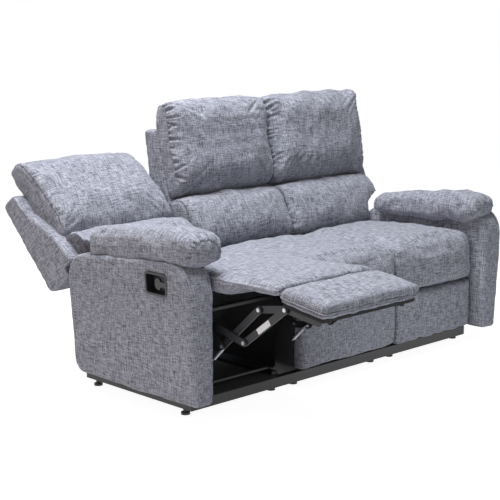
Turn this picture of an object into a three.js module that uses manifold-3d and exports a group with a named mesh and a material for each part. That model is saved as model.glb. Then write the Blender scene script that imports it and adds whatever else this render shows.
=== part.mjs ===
// Three-seat reclining sofa with a recliner at each end, in millimetres.
// X runs across the seats, Y from front to back and Z up. The left recliner is
// laid back with its footrest out, the right one is closed, as in a showroom.
// Side views are drawn in a plane whose first axis is Y and second axis is Z.
import * as THREE from "three";
import { mergeVertices } from "three/addons/utils/BufferGeometryUtils.js";
import Module from "manifold-3d";

const wasm = await Module();
wasm.setup();

// Seats, arms and gaps, across the sofa
const middleSeatWidth = 564;
const sideSeatWidth = 500;
const seatGap = 4;
const armThickness = 90;
const armLean = 35;
const shellWingWidth = 124;
const cushionWingWidth = 80;
const partGap = 0.3;
const overrun = 5;
const mergeDistance = 1e-4;

const middleHalf = middleSeatWidth / 2;
const sideInner = middleHalf + seatGap;
const sideOuter = sideInner + sideSeatWidth;
const armInner = sideOuter + seatGap;
const armOuter = armInner + armThickness;
const shellWingOuter = sideOuter + shellWingWidth;
const cushionWingOuter = sideOuter + cushionWingWidth;
const sideCentre = (sideInner + sideOuter) / 2;

// Heights and depths that the pieces share
const railBottom = 24;
const railTop = 76.7;
const bodyBottom = railTop + partGap;
const panelBottom = 75;
const panelFront = 60;
const seamHeight = 286;
const seatTop = 492;
const seatCrown = 9;
const cushionThickness = 61;
const seatRear = 610;
const armDepth = 690;
const armTop = 575;
const armEdge = 16;
const armCornerShares = { drop: 0.28, run: 0.224 };
const seatEdge = 16;
const noseShare = 0.95;
const waterfallEdge = 24;
const waterfallShares = { roll: 0.8, lip: 0.35, tuck: 0.5, rear: 0.5, rearRoll: 0.8 };
const boxCorner = 8;
const boxEdge = 6;
const panelCorner = 22;
const panelEdge = 22;
const panelCrown = 5;

// Base rails and glide feet
const railWidth = 34;
const crossRailTop = 62;
const crossRailDepth = 30;
const frontRailFront = 110;
const rearRailRear = 730;
const middleRailX = 229;
const postPlate = 8;
const innerRailX = 351;
const outerRailX = 787;
const footRadius = 17;
const footHeadRadius = 9;
const footSetback = 22;
const footSoleHeight = 9;

// Seat side plates, links and pins, stacked across the sofa
const plateInset = 16;
const plateThickness = 4;
const layerPitch = 7;
const linkWidth = 26;
const pinRadius = 6;
const pinClearance = 0.5;
const headRadius = 10;
const headThickness = 2;
const headGap = 0.4;
const deckInset = 32;
const deckThickness = 18;

// Footrest linkage, seen from the side, in the frame of a closed seat
const liftPivot = { y: 240, z: 330 };
const liftLength = 238;
const liftCrankLength = 150;
const liftCrankAngle = 23.4;
const guideSpacing = 75;
const guideSpacingAngle = -7.75;
const frontLinkLength = 245.3;
const rearLinkLength = 241.2;
const rearTailAngle = 216.7;
const bracketReach = { y: 38, z: 123 };
const liftOpenAngle = 194.1;
const liftTurn = 94.9;
const frontLinkOpenAngle = 142.8;
const frontLinkTurn = -6;
const rearLinkOpenAngle = 138.3;
const rearLinkTurn = -5.5;
const footrestTurn = 82;
const flapCentre = { y: 45, z: 515 };

// Recline: the back turns about its pivot while the seat glides forwards and up
const backPivot = { y: 640, z: 425 };
const reclineTurn = 36;
const seatGlide = { y: -125, z: 40 };
const studRadius = 5;
const studSetback = 90;
const studRearSetback = 80;
const studHeight = 180;
const slotClearance = 0.5;
const rampThickness = 3;
const rampGap = 3;
const rampMargin = 20;

// Back cushions and shell
const backLean = 16;
const shellBottom = 400;
const shellTop = 944;
const shellFront = 760;
const shellDepth = 145;
const shellTopDepth = 76;
const shellEdge = 10;
const shellCornerShare = 0.3;
const wingBottom = 545;
const lumbarBottom = 447;
const lumbarTop = 671;
const lumbarFrontDepth = 146;
const lumbarTaperShare = 0.13;
const lumbarEdge = 26;
const lumbarCrown = 8;
const lumbarSquareness = 3.4;
const headBottom = 675;
const headTop = 1063;
const headFrontDepth = 120;
const headRearDepth = 36;
const headTaperShare = 0.12;
const headEdge = 40;
const headCrown = 6;
const headSquareness = 2.8;
const armNotchHeight = 590;

// Arm pads
const padRear = 586;
const padOverhang = 62;
const padOutset = 18;
const padThickness = 100;
const padRise = 20;
const padRollRadius = 56;
const padRollDrop = 30;
const padEdge = 44;
const padCrown = 4;
const padShares = {
  underlap: 0.1, rearOut: 0.25, rearDown: 0.5, hump: 0.3,
  noseOut: 0.7, noseIn: 0.45, noseDown: 1.4, chinOut: 0.35, chinIn: 0.4,
};

// Footrest and flap
const sideClearance = 4;
const footrestPadDepth = 50;
const footrestBoardDepth = 15;
const flapDepth = 35;
const flapTuck = 1.5;
const footrestEdge = 18;
const flapEdge = 12;
const plateMarginShare = 0.7;
const strapMarginShare = 0.6;

// Release handle in each arm
const handleY = 170;
const handleZ = 498;
const bezelHeight = 78;
const bezelWidth = 112;
const bezelLip = 2.5;
const bezelWall = 2.5;
const cupDepth = 30;
const leverPinRadius = 2.5;
const leverThickness = 6;
const leverReach = 56;
const leverHeight = 46;
const leverLipShare = 0.8;
const leverPivot = { x: -9, y: -40 };

const paint = (color, roughness, metalness) =>
  new THREE.MeshStandardMaterial({ color, roughness, metalness });
const fabric = paint(0x8489a0, 0.95, 0);
const fabricDark = paint(0x6d7285, 0.95, 0);
const steel = paint(0x17181a, 0.45, 0.8);
const timber = paint(0x5b4a38, 0.8, 0);
const plastic = paint(0x101113, 0.4, 0);

// Turns a geometry into a closed solid.
function solid(geometry) {
  const bare = geometry.index ? geometry.toNonIndexed() : geometry.clone();
  for (const name of Object.keys(bare.attributes)) {
    if (name !== "position") bare.deleteAttribute(name);
  }
  const merged = mergeVertices(bare, mergeDistance);
  return new wasm.Manifold(
    new wasm.Mesh({
      numProp: 3,
      vertProperties: new Float32Array(merged.attributes.position.array),
      triVerts: new Uint32Array(merged.index.array),
    }),
  );
}

function geometryOf(manifold) {
  const mesh = manifold.getMesh();
  const geometry = new THREE.BufferGeometry();
  geometry.setAttribute("position", new THREE.BufferAttribute(mesh.vertProperties, 3));
  geometry.setIndex(new THREE.BufferAttribute(mesh.triVerts, 1));
  const flat = geometry.toNonIndexed();
  flat.computeVertexNormals();
  return flat;
}

const join = (first, ...others) =>
  geometryOf(others.reduce((sum, other) => sum.add(solid(other)), solid(first)));

const cut = (first, ...tools) =>
  geometryOf(tools.reduce((rest, tool) => rest.subtract(solid(tool)), solid(first)));

const radians = THREE.MathUtils.degToRad;

// Place and direction helpers for side views
const point = (y, z) => ({ y, z });
const along = (from, length, degrees) =>
  point(
    from.y + length * Math.cos(radians(degrees)),
    from.z + length * Math.sin(radians(degrees)),
  );
const difference = (a, b) => point(a.y - b.y, a.z - b.z);
function turned(offset, degrees) {
  const [c, s] = [Math.cos(radians(degrees)), Math.sin(radians(degrees))];
  return point(offset.y * c - offset.z * s, offset.y * s + offset.z * c);
}

// Extrudes a side view across the sofa, between two places along X.
function extrudeAcross(shape, xa, xb, curveSegments = 6) {
  const geometry = new THREE.ExtrudeGeometry(shape, {
    depth: Math.abs(xb - xa),
    bevelEnabled: false,
    curveSegments,
  });
  const turn = new THREE.Matrix4().set(
    0, 0, 1, Math.min(xa, xb),
    1, 0, 0, 0,
    0, 1, 0, 0,
    0, 0, 0, 1,
  );
  return geometry.applyMatrix4(turn);
}

// A block between two corners
function block(xa, xb, ya, yb, za, zb) {
  const geometry = new THREE.BoxGeometry(Math.abs(xb - xa), Math.abs(yb - ya), Math.abs(zb - za));
  return geometry.translate((xa + xb) / 2, (ya + yb) / 2, (za + zb) / 2);
}

// A round bar along X
function bar(xa, xb, centre, radius, sides = 12) {
  const geometry = new THREE.CylinderGeometry(radius, radius, Math.abs(xb - xa), sides);
  return geometry.rotateZ(Math.PI / 2).translate((xa + xb) / 2, centre.y, centre.z);
}

// The outline that a belt pulled round some discs would take
function beltShape(discs, steps = 16) {
  const points = [];
  for (const disc of discs) {
    for (let i = 0; i < steps; i += 1) {
      const spot = along(disc, disc.r, (360 * i) / steps);
      points.push(new THREE.Vector2(spot.y, spot.z));
    }
  }
  points.sort((a, b) => a.x - b.x || a.y - b.y);
  const cross = (o, a, b) => (a.x - o.x) * (b.y - o.y) - (a.y - o.y) * (b.x - o.x);
  const half = (list) => {
    const chain = [];
    for (const p of list) {
      while (chain.length > 1 && cross(chain[chain.length - 2], chain[chain.length - 1], p) <= 0) {
        chain.pop();
      }
      chain.push(p);
    }
    return chain.slice(0, -1);
  };
  return new THREE.Shape([...half(points), ...half([...points].reverse())]);
}

const disc = (centre, r) => ({ ...centre, r });

// Grows a closed side view by a distance, with mitred corners.
function grownRing(ring, distance) {
  return ring.map((p, i) => {
    const before = ring[(i + ring.length - 1) % ring.length];
    const after = ring[(i + 1) % ring.length];
    const [a, b] = [
      new THREE.Vector2().subVectors(p, before).normalize(),
      new THREE.Vector2().subVectors(after, p).normalize(),
    ];
    const mitre = distance / (1 + a.dot(b));
    return new THREE.Vector2(p.x + (a.y + b.y) * mitre, p.y - (a.x + b.x) * mitre);
  });
}

// Shrinks a side view by a distance at each of its four extremes, or swells it if that is negative.
function shrunkRing(ring, distance) {
  const box = new THREE.Box2().setFromPoints(ring);
  const middle = box.getCenter(new THREE.Vector2());
  const half = box.getSize(new THREE.Vector2()).divideScalar(2);
  return ring.map((p) => new THREE.Vector2(
    middle.x + (p.x - middle.x) * (1 - distance / half.x),
    middle.y + (p.y - middle.y) * (1 - distance / half.y),
  ));
}

// A stuffed solid: a side view carried across, drawn in towards both sides and crowned between.
function stuffed(ring, xa, xb, { edge, crown = 0, steps = 3, spans = 4 }) {
  const [low, high] = [Math.min(xa, xb), Math.max(xa, xb)];
  const sections = [];
  for (let i = 0; i < steps; i += 1) {
    const angle = (Math.PI / 2) * (i / steps);
    sections.push([low + edge * (1 - Math.cos(angle)), edge * (1 - Math.sin(angle))]);
  }
  for (let i = 0; i <= spans; i += 1) {
    const t = i / spans;
    sections.push([
      low + edge + (high - low - 2 * edge) * t,
      -crown * 4 * t * (1 - t),
    ]);
  }
  for (let i = steps - 1; i >= 0; i -= 1) {
    const angle = (Math.PI / 2) * (i / steps);
    sections.push([high - edge * (1 - Math.cos(angle)), edge * (1 - Math.sin(angle))]);
  }
  const positions = [];
  const rings = sections.map(([x, inset]) => shrunkRing(ring, inset).map((p) => [x, p.x, p.y]));
  const count = ring.length;
  for (let s = 0; s + 1 < rings.length; s += 1) {
    for (let i = 0; i < count; i += 1) {
      const j = (i + 1) % count;
      const [a, b, c, d] = [rings[s][i], rings[s][j], rings[s + 1][j], rings[s + 1][i]];
      positions.push(...a, ...b, ...c, ...a, ...c, ...d);
    }
  }
  const faces = THREE.ShapeUtils.triangulateShape([...ring], []);
  const caps = (list, flip) => {
    for (const [i, j, k] of faces) {
      const order = flip ? [i, k, j] : [i, j, k];
      positions.push(...order.flatMap((n) => list[n]));
    }
  };
  caps(rings[0], true);
  caps(rings[rings.length - 1], false);
  const geometry = new THREE.BufferGeometry();
  geometry.setAttribute("position", new THREE.BufferAttribute(new Float32Array(positions), 3));
  return geometry;
}

// A puffed side view, leaning back by some degrees, with its own front and rear depth.
function puffRing({ centre, lean, height, front, rear, taperShare = 0, power = 3, steps = 20 }) {
  const ring = [];
  const bend = (v) => Math.sign(v) * Math.abs(v) ** (2 / power);
  for (let i = 0; i < steps; i += 1) {
    const angle = (2 * Math.PI * (i + 0.5)) / steps;
    const up = bend(Math.sin(angle));
    const side = bend(Math.cos(angle));
    const depth = side < 0 ? front * (1 - taperShare * up) : rear;
    const offset = turned(point(side * depth, (up * height) / 2), -lean);
    ring.push(new THREE.Vector2(centre.y + offset.y, centre.z + offset.z));
  }
  return ring;
}

const ringOf = (shape, divisions = 5) => {
  const ring = shape.getPoints(divisions);
  const last = ring[ring.length - 1];
  return last.distanceTo(ring[0]) < partGap / overrun ? ring.slice(0, -1) : ring;
};

const sofa = new THREE.Group();

function piece(parent, name, geometry, material) {
  const mesh = new THREE.Mesh(geometry, material);
  mesh.name = name;
  parent.add(mesh);
  return mesh;
}

// Base: one welded frame under the middle seat that reaches across, and a rail at each side of a
// recliner
const railLength = point(frontRailFront + crossRailDepth, rearRailRear - crossRailDepth);
const feetPlaces = [railLength.y + footSetback, railLength.z - footSetback];

function foot(x, y) {
  const sole = new THREE.CylinderGeometry(footRadius, footRadius, footSoleHeight, 16);
  const stem = new THREE.CylinderGeometry(footHeadRadius, footHeadRadius, railBottom, 12);
  sole.rotateX(Math.PI / 2).translate(x, y, footSoleHeight / 2);
  stem.rotateX(Math.PI / 2).translate(x, y, railBottom / 2 + footSoleHeight / 2);
  return join(sole, stem);
}

function railWithFeet(x) {
  const rail = block(
    x - railWidth / 2, x + railWidth / 2,
    railLength.y + partGap, railLength.z - partGap, railBottom, railTop,
  );
  return [rail, ...feetPlaces.map((y) => foot(x, y))];
}

function buildMiddleBase() {
  const reach = outerRailX + railWidth / 2;
  const front = block(-reach, reach, frontRailFront, railLength.y, railBottom, crossRailTop);
  const rear = block(-reach, reach, railLength.z, rearRailRear, railBottom, crossRailTop);
  const rails = [-1, 1].flatMap((side) => {
    const x = side * middleRailX;
    const rail = block(
      x - railWidth / 2, x + railWidth / 2,
      railLength.y - overrun, railLength.z + overrun, railBottom, railTop,
    );
    return [rail, ...feetPlaces.map((y) => foot(x, y))];
  });
  const posts = [-1, 1].flatMap((side) => {
    const [xa, xb] = [side * middleRailX - railWidth / 2, side * middleRailX + railWidth / 2];
    const shelfTop = shellBottom - partGap;
    return [
      block(xa, xb, railLength.z, rearRailRear, railBottom, shelfTop),
      block(
        xa, xb, railLength.z, shellFront + shellDepth - railWidth,
        shelfTop - postPlate, shelfTop,
      ),
    ];
  });
  piece(sofa, "middle_base", join(front, rear, ...rails, ...posts), steel);
}

// Mechanism layers: layer 0 is the seat plate and higher layers lie further into the seat.
function layersOf(side, place) {
  const outer = place === "outer";
  const start = side * (outer ? sideOuter - plateInset : sideInner + plateInset);
  const inward = outer ? -side : side;
  return {
    at: (offset) => start + inward * offset,
    start: (layer) => layer * layerPitch,
    end: (layer) => layer * layerPitch + plateThickness,
  };
}

const pinOn = (layers, layer, centre) =>
  join(
    bar(
      layers.at(layers.end(layer) - plateThickness / 2),
      layers.at(layers.end(layer + 1) + headGap + headThickness / 2),
      centre, pinRadius,
    ),
    bar(
      layers.at(layers.end(layer + 1) + headGap),
      layers.at(layers.end(layer + 1) + headGap + headThickness),
      centre, headRadius,
    ),
  );

// A blind rivet that faces the next layer without reaching into it
const rivetOn = (layers, layer, centre) =>
  bar(
    layers.at(layers.end(layer) - plateThickness / 2),
    layers.at(layers.start(layer + 1) - headGap),
    centre, headRadius,
  );

const studPlaces = [
  point(liftPivot.y + studSetback, studHeight),
  point(seatRear + seatGap - studRearSetback + studSetback / 2, studHeight),
];

// The ramp plate stands on a side rail and guides the studs of the seat plate.
function buildSideRail(side, place, name) {
  const x = side * (place === "outer" ? outerRailX : innerRailX);
  const layers = layersOf(side, place);
  const [xa, xb] = [layers.at(-rampGap), layers.at(-rampGap - rampThickness)];
  const ends = studPlaces.flatMap((stud) => [
    stud, point(stud.y + seatGlide.y, stud.z + seatGlide.z),
  ]);
  const feet = [ends[1], ends[2]].map((p) => disc(point(p.y, railTop), rampMargin / 2));
  const outline = beltShape([...ends.map((p) => disc(p, rampMargin)), ...feet]);
  const ramp = extrudeAcross(outline, xa, xb);
  const slots = studPlaces.map((stud) => {
    const end = point(stud.y + seatGlide.y, stud.z + seatGlide.z);
    const width = studRadius + slotClearance;
    const slot = beltShape([disc(stud, width), disc(end, width)], 12);
    return extrudeAcross(slot, xa - overrun, xb + overrun);
  });
  const flange = block(
    Math.min(xa, xb, x - railWidth / 2), Math.max(xa, xb, x + railWidth / 2),
    ends[1].y - rampMargin / 2, ends[2].y + rampMargin / 2,
    railTop - plateThickness, railTop,
  );
  piece(sofa, name, join(cut(ramp, ...slots), flange, ...railWithFeet(x)), steel);
}

// Arms
function armRing(grow = 0) {
  const shape = new THREE.Shape();
  const corner = point(armTop * armCornerShares.run, armTop * armCornerShares.drop);
  shape.moveTo(0, bodyBottom);
  shape.lineTo(armDepth, bodyBottom);
  shape.lineTo(armDepth, armTop - corner.z);
  shape.quadraticCurveTo(armDepth, armTop, armDepth - corner.y, armTop);
  shape.lineTo(corner.y, armTop);
  shape.quadraticCurveTo(0, armTop, 0, armTop - corner.z);
  return grownRing(ringOf(shape), grow);
}

// Leans the outer face of an arm outwards towards its top.
function leanOut(geometry, side) {
  const places = geometry.attributes.position;
  for (let i = 0; i < places.count; i += 1) {
    const across = (side * places.getX(i) - armInner) / armThickness;
    const up = (places.getZ(i) - bodyBottom) / (armTop - bodyBottom);
    places.setX(i, places.getX(i) + side * armLean * Math.max(0, across) * up);
  }
  return geometry;
}

function armBody(side, grow = 0) {
  const [inner, outer] = [side * (armInner - grow), side * (armOuter + grow)];
  return leanOut(stuffed(armRing(grow), inner, outer, { edge: armEdge, spans: 1 }), side);
}

// Frame of a handle: X points out of the arm's outer face, which leans.
function handleFrame(side) {
  const up = (handleZ - bodyBottom) / (armTop - bodyBottom);
  const lean = Math.atan(armLean / (armTop - bodyBottom));
  const frame = new THREE.Group();
  frame.position.set(side * (armOuter + armLean * up), handleY, handleZ);
  frame.rotation.y = side * lean;
  frame.scale.x = side;
  frame.updateMatrix();
  return frame;
}

function roundedPlate(width, height, radius) {
  const [w, h] = [width / 2 - radius, height / 2 - radius];
  return beltShape([
    disc(point(-w, -h), radius), disc(point(w, -h), radius),
    disc(point(w, h), radius), disc(point(-w, h), radius),
  ], 12);
}

function buildArm(side, label) {
  const frame = handleFrame(side);
  const pocket = extrudeAcross(
    roundedPlate(
      bezelWidth - bezelWall + partGap, bezelHeight - bezelWall + partGap, cupDepth / 2,
    ),
    -cupDepth - bezelWall - partGap, overrun,
  ).applyMatrix4(frame.matrix);
  piece(sofa, `${label}_arm`, cut(armBody(side), side < 0 ? flipped(pocket) : pocket), fabric);

  const [inner, outer] = [armInner - padOverhang, armOuter + armLean + padOutset];
  const pad = cut(padSolid(side * inner, side * outer), armBody(side, partGap));
  piece(sofa, `${label}_arm_pad`, pad, fabric);

  sofa.add(frame);
  const flange = extrudeAcross(
    roundedPlate(bezelWidth + bezelWall * 2, bezelHeight + bezelWall * 2, cupDepth / 2),
    partGap, bezelLip,
  );
  const shell = extrudeAcross(
    roundedPlate(bezelWidth - bezelWall, bezelHeight - bezelWall, cupDepth / 2),
    -cupDepth - bezelWall, bezelLip,
  );
  const hollow = extrudeAcross(
    roundedPlate(bezelWidth - bezelWall * 4, bezelHeight - bezelWall * 4, cupDepth / 3),
    -cupDepth, bezelLip + overrun,
  );
  const axle = upright(leverPinRadius, bezelHeight - bezelWall * 3)
    .translate(leverPivot.x, leverPivot.y, 0);
  piece(frame, `${label}_handle_bezel`, join(cut(join(flange, shell), hollow), axle), plastic);
  buildLever(frame, label);
}

// A mirrored frame turns a tool inside out, so its faces are put back.
function flipped(geometry) {
  const bare = geometry.index ? geometry.toNonIndexed() : geometry.clone();
  const places = bare.attributes.position;
  for (let i = 0; i < places.count; i += 3) {
    const swap = new THREE.Vector3().fromBufferAttribute(places, i + 1);
    const keep = new THREE.Vector3().fromBufferAttribute(places, i + 2);
    places.setXYZ(i + 1, keep.x, keep.y, keep.z);
    places.setXYZ(i + 2, swap.x, swap.y, swap.z);
  }
  return bare;
}

// An upright round bar
const upright = (radius, length) =>
  new THREE.CylinderGeometry(radius, radius, length, 16).rotateX(Math.PI / 2);

// The lever is a paddle that turns about an upright pin and is pulled out of its cup.
function buildLever(frame, label) {
  const group = new THREE.Group();
  group.position.set(leverPivot.x, leverPivot.y, 0);
  frame.add(group);
  const paddle = extrudeAcross(
    roundedPlate(leverReach, leverHeight, leverThickness), -leverThickness / 2, leverThickness / 2,
  ).translate(0, leverReach / 2, 0);
  const hub = upright(leverPinRadius + leverThickness / 2, leverHeight);
  const bore = upright(leverPinRadius + pinClearance, leverHeight + overrun);
  const lip = extrudeAcross(
    roundedPlate(leverThickness, leverHeight * leverLipShare, leverThickness / 4),
    -leverThickness * 2, 0,
  ).translate(0, leverReach - leverThickness, 0);
  piece(group, `${label}_release_lever`, cut(join(paddle, hub, lip), bore), plastic);
}

// Arm pad: a stuffed roll that runs along the arm and turns down over its front.
function padSolid(xa, xb) {
  const shape = new THREE.Shape();
  const top = armTop + padThickness;
  const chin = armTop - padRollDrop;
  shape.moveTo(padRear, armTop - padThickness * padShares.underlap);
  shape.quadraticCurveTo(
    padRear + padThickness * padShares.rearOut, top - padThickness * padShares.rearDown,
    padRear - padThickness * padShares.rearOut, top - padRise,
  );
  shape.quadraticCurveTo(padRear / 2, top + padRise * padShares.hump, padRollRadius, top);
  shape.quadraticCurveTo(
    -padRollRadius * padShares.noseOut, top,
    -padRollRadius * padShares.noseIn, top - padRollRadius * padShares.noseDown,
  );
  shape.quadraticCurveTo(
    -padRollRadius * padShares.chinOut, chin,
    padRollRadius * padShares.chinIn, chin,
  );
  return stuffed(ringOf(shape, 4), xa, xb, {
    edge: padEdge, crown: padCrown, steps: 4, spans: 2,
  });
}

// Backs
const slope = Math.tan(radians(backLean));
const shellFrontAt = (z) => shellFront + (z - shellBottom) * slope;

function shellRing(bottom, grow = 0) {
  const share = (bottom - shellBottom) / (shellTop - shellBottom);
  const rearAt = (s) => shellDepth + (shellTopDepth - shellDepth) * s;
  const shape = new THREE.Shape();
  const round = shellTopDepth * shellCornerShare;
  shape.moveTo(shellFrontAt(bottom), bottom);
  shape.lineTo(shellFrontAt(bottom) + rearAt(share) - round, bottom);
  shape.quadraticCurveTo(
    shellFrontAt(bottom) + rearAt(share), bottom,
    shellFrontAt(bottom + round) + rearAt(share), bottom + round,
  );
  shape.lineTo(shellFrontAt(shellTop - round) + shellTopDepth, shellTop - round);
  shape.quadraticCurveTo(
    shellFrontAt(shellTop) + shellTopDepth, shellTop,
    shellFrontAt(shellTop) + shellTopDepth - round, shellTop,
  );
  shape.lineTo(shellFrontAt(shellTop), shellTop);
  return grownRing(ringOf(shape, 3), grow);
}

// A back shell: between the arms below, and as wide as the wings above them.
function shellSolid(xa, xb, wing, grow = 0) {
  const way = Math.sign(xb - xa);
  const options = { edge: shellEdge, steps: 2, spans: 1 };
  const low = stuffed(shellRing(shellBottom, grow), xa - way * grow, xb + way * grow, options);
  if (!wing) return low;
  const high = stuffed(shellRing(wingBottom, grow), xa - way * grow, wing + way * grow, options);
  return join(low, high);
}

function puffAgainstShell(bottom, top, options) {
  const middle = (bottom + top) / 2;
  return puffRing({
    centre: point(shellFrontAt(middle) - partGap * 2, middle),
    lean: backLean,
    height: (top - bottom) / Math.cos(radians(backLean)),
    ...options,
  });
}

function buildBack(parent, label, xa, xb, wide) {
  const side = Math.sign(xb);
  const wing = wide ? side * shellWingOuter : 0;
  const outer = wide ? side * cushionWingOuter : xb;
  const shell = shellSolid(xa, xb, wing);
  const tool = shellSolid(xa, xb, wing, partGap);
  const notch = block(
    xb, outer + side * overrun,
    0, shellFront + shellDepth, bodyBottom, armNotchHeight,
  );
  const lumbarRing = puffAgainstShell(lumbarBottom, lumbarTop, {
    front: lumbarFrontDepth, rear: overrun,
    taperShare: lumbarTaperShare, power: lumbarSquareness,
  });
  const seam = (lumbarTop + headBottom) / 2;
  const reach = headTop - seam;
  const parting = (up) => block(-armOuter * 2, armOuter * 2, -reach, reach, 0, up * reach)
    .translate(0, 0, up * (lumbarTop - headBottom) / 2)
    .applyMatrix4(new THREE.Matrix4().makeRotationX(radians(-backLean)))
    .translate(0, shellFrontAt(seam), seam);
  const lumbarForm = stuffed(lumbarRing, xa, outer, { edge: lumbarEdge, crown: lumbarCrown });
  let lumbar = cut(lumbarForm, tool, parting(1));
  if (wide) lumbar = cut(lumbar, notch);
  piece(parent, `${label}_lumbar_cushion`, lumbar, fabric);
  const headRing = puffAgainstShell(headBottom, headTop, {
    front: headFrontDepth, rear: headRearDepth,
    taperShare: headTaperShare, power: headSquareness,
  });
  const headForm = stuffed(headRing, xa, outer, { edge: headEdge, crown: headCrown, steps: 4 });
  piece(parent, `${label}_head_cushion`, cut(headForm, tool, parting(-1)), fabric);
  return shell;
}

// Middle seat: a fixed box with a padded front and one cushion that falls over it
function buildMiddleSeat() {
  const inner = middleHalf - seatGap;
  const depth = footrestPadDepth;
  const seatBottom = seatTop - cushionThickness;
  const boxRing = ringOf(
    roundedRect(panelFront + depth, seatRear, bodyBottom, seatBottom, boxCorner), 2,
  );
  const box = stuffed(boxRing, -inner, inner, { edge: boxEdge, steps: 1, spans: 1 });
  const panelRing = ringOf(
    roundedRect(
      panelFront, panelFront + depth + overrun, panelBottom + overrun, seamHeight, panelCorner,
    ), 4,
  );
  const above = block(-middleSeatWidth, middleSeatWidth, 0, seatRear, seamHeight, seatTop);
  const panelForm = stuffed(panelRing, -middleHalf, middleHalf, {
    edge: panelEdge, crown: panelCrown,
  });
  const panel = cut(panelForm, above);
  piece(sofa, "middle_seat_box", join(box, panel), fabricDark);

  const shape = new THREE.Shape();
  const roll = cushionThickness * waterfallShares.roll;
  const seam = seamHeight + partGap * 2;
  const lip = seam + flapDepth * waterfallShares.lip;
  const inside = panelFront + depth - partGap;
  shape.moveTo(panelFront, lip);
  shape.quadraticCurveTo(
    panelFront, seam, panelFront + flapDepth * waterfallShares.tuck, seam,
  );
  shape.lineTo(inside, lip);
  shape.lineTo(inside, seatBottom + partGap);
  shape.lineTo(seatRear + cushionThickness * waterfallShares.rear, seatBottom + partGap);
  shape.quadraticCurveTo(
    seatRear + cushionThickness * waterfallShares.rearRoll, seatTop, seatRear, seatTop,
  );
  shape.lineTo(panelFront + roll, seatTop);
  shape.quadraticCurveTo(panelFront, seatTop, panelFront, seatTop - roll);
  const tool = block(
    -middleSeatWidth, middleSeatWidth, inside, seatRear + overrun,
    bodyBottom, seatBottom + partGap,
  );
  const panelTool = block(
    -middleSeatWidth, middleSeatWidth, 0, seatRear, 0, seamHeight + partGap,
  );
  const cushion = stuffed(ringOf(shape, 4), -middleHalf, middleHalf, {
    edge: waterfallEdge, crown: seatCrown,
  });
  piece(sofa, "middle_seat_cushion", cut(cushion, tool, panelTool), fabric);
  const shell = buildBack(sofa, "middle", -middleHalf, middleHalf, false);
  piece(sofa, "middle_back_shell", shell, fabricDark);
}

function roundedRect(ya, yb, za, zb, radius) {
  const shape = new THREE.Shape();
  shape.moveTo(ya + radius, za);
  shape.lineTo(yb - radius, za);
  shape.quadraticCurveTo(yb, za, yb, za + radius);
  shape.lineTo(yb, zb - radius);
  shape.quadraticCurveTo(yb, zb, yb - radius, zb);
  shape.lineTo(ya + radius, zb);
  shape.quadraticCurveTo(ya, zb, ya, zb - radius);
  shape.lineTo(ya, za + radius);
  shape.quadraticCurveTo(ya, za, ya + radius, za);
  return shape;
}

// Linkage places for a fold between 0, open, and 1, closed
function linkage(fold) {
  const lift = liftOpenAngle + liftTurn * fold;
  const guide = lift + liftCrankAngle;
  const rear = rearLinkOpenAngle + rearLinkTurn * fold;
  const front = frontLinkOpenAngle + frontLinkTurn * fold;
  const guidePivot = along(liftPivot, guideSpacing, guideSpacingAngle);
  const crank = along(liftPivot, liftCrankLength, guide);
  const knee = along(liftPivot, liftLength, lift);
  const toe = along(knee, frontLinkLength, front);
  const panel = -footrestTurn * (1 - fold);
  return { lift, guide, rear, front, guidePivot, crank, knee, toe, panel };
}

function placed(parent, at, degrees) {
  const group = new THREE.Group();
  group.position.set(0, at.y, at.z);
  group.rotation.x = radians(degrees);
  parent.add(group);
  return group;
}

const origin = point(0, 0);
const strip = (a, b) => beltShape([disc(a, linkWidth / 2), disc(b, linkWidth / 2)], 12);

function linkPlate(layers, layer, points, holes) {
  const [xa, xb] = [layers.at(layers.start(layer)), layers.at(layers.end(layer))];
  const strips = points.slice(1).map((p) => extrudeAcross(strip(points[0], p), xa, xb));
  const tools = holes.map((p) => bar(xa - overrun, xb + overrun, p, pinRadius + pinClearance));
  return cut(strips.length > 1 ? join(...strips) : strips[0], ...tools);
}

function buildLinks(seat, side, place, label, fold) {
  const layers = layersOf(side, place);
  const at = linkage(fold);
  const name = (what) => `${label}_${place}_${what}`;

  const kneeAt = point(liftLength, 0);
  const crankAt = along(origin, liftCrankLength, liftCrankAngle);
  const lift = join(
    linkPlate(layers, 1, [origin, kneeAt, crankAt], [origin]),
    pinOn(layers, 1, kneeAt), pinOn(layers, 1, crankAt),
  );
  piece(placed(seat, liftPivot, at.lift), name("lift_link"), lift, steel);

  const guideEnd = point(liftCrankLength, 0);
  const guide = join(
    linkPlate(layers, 1, [origin, guideEnd], [origin]),
    rivetOn(layers, 1, guideEnd),
  );
  piece(placed(seat, at.guidePivot, at.guide), name("guide_link"), guide, steel);

  const rearEnd = point(rearLinkLength, 0);
  const tail = along(origin, guideSpacing, rearTailAngle);
  const rear = join(
    linkPlate(layers, 2, [origin, rearEnd, tail], [origin]),
    rivetOn(layers, 2, rearEnd),
  );
  piece(placed(seat, at.crank, at.rear), name("rear_scissor_link"), rear, steel);

  const frontEnd = point(frontLinkLength, 0);
  const front = linkPlate(layers, 2, [origin, frontEnd], [origin, frontEnd]);
  piece(placed(seat, at.knee, at.front), name("front_scissor_link"), front, steel);
}

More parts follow.
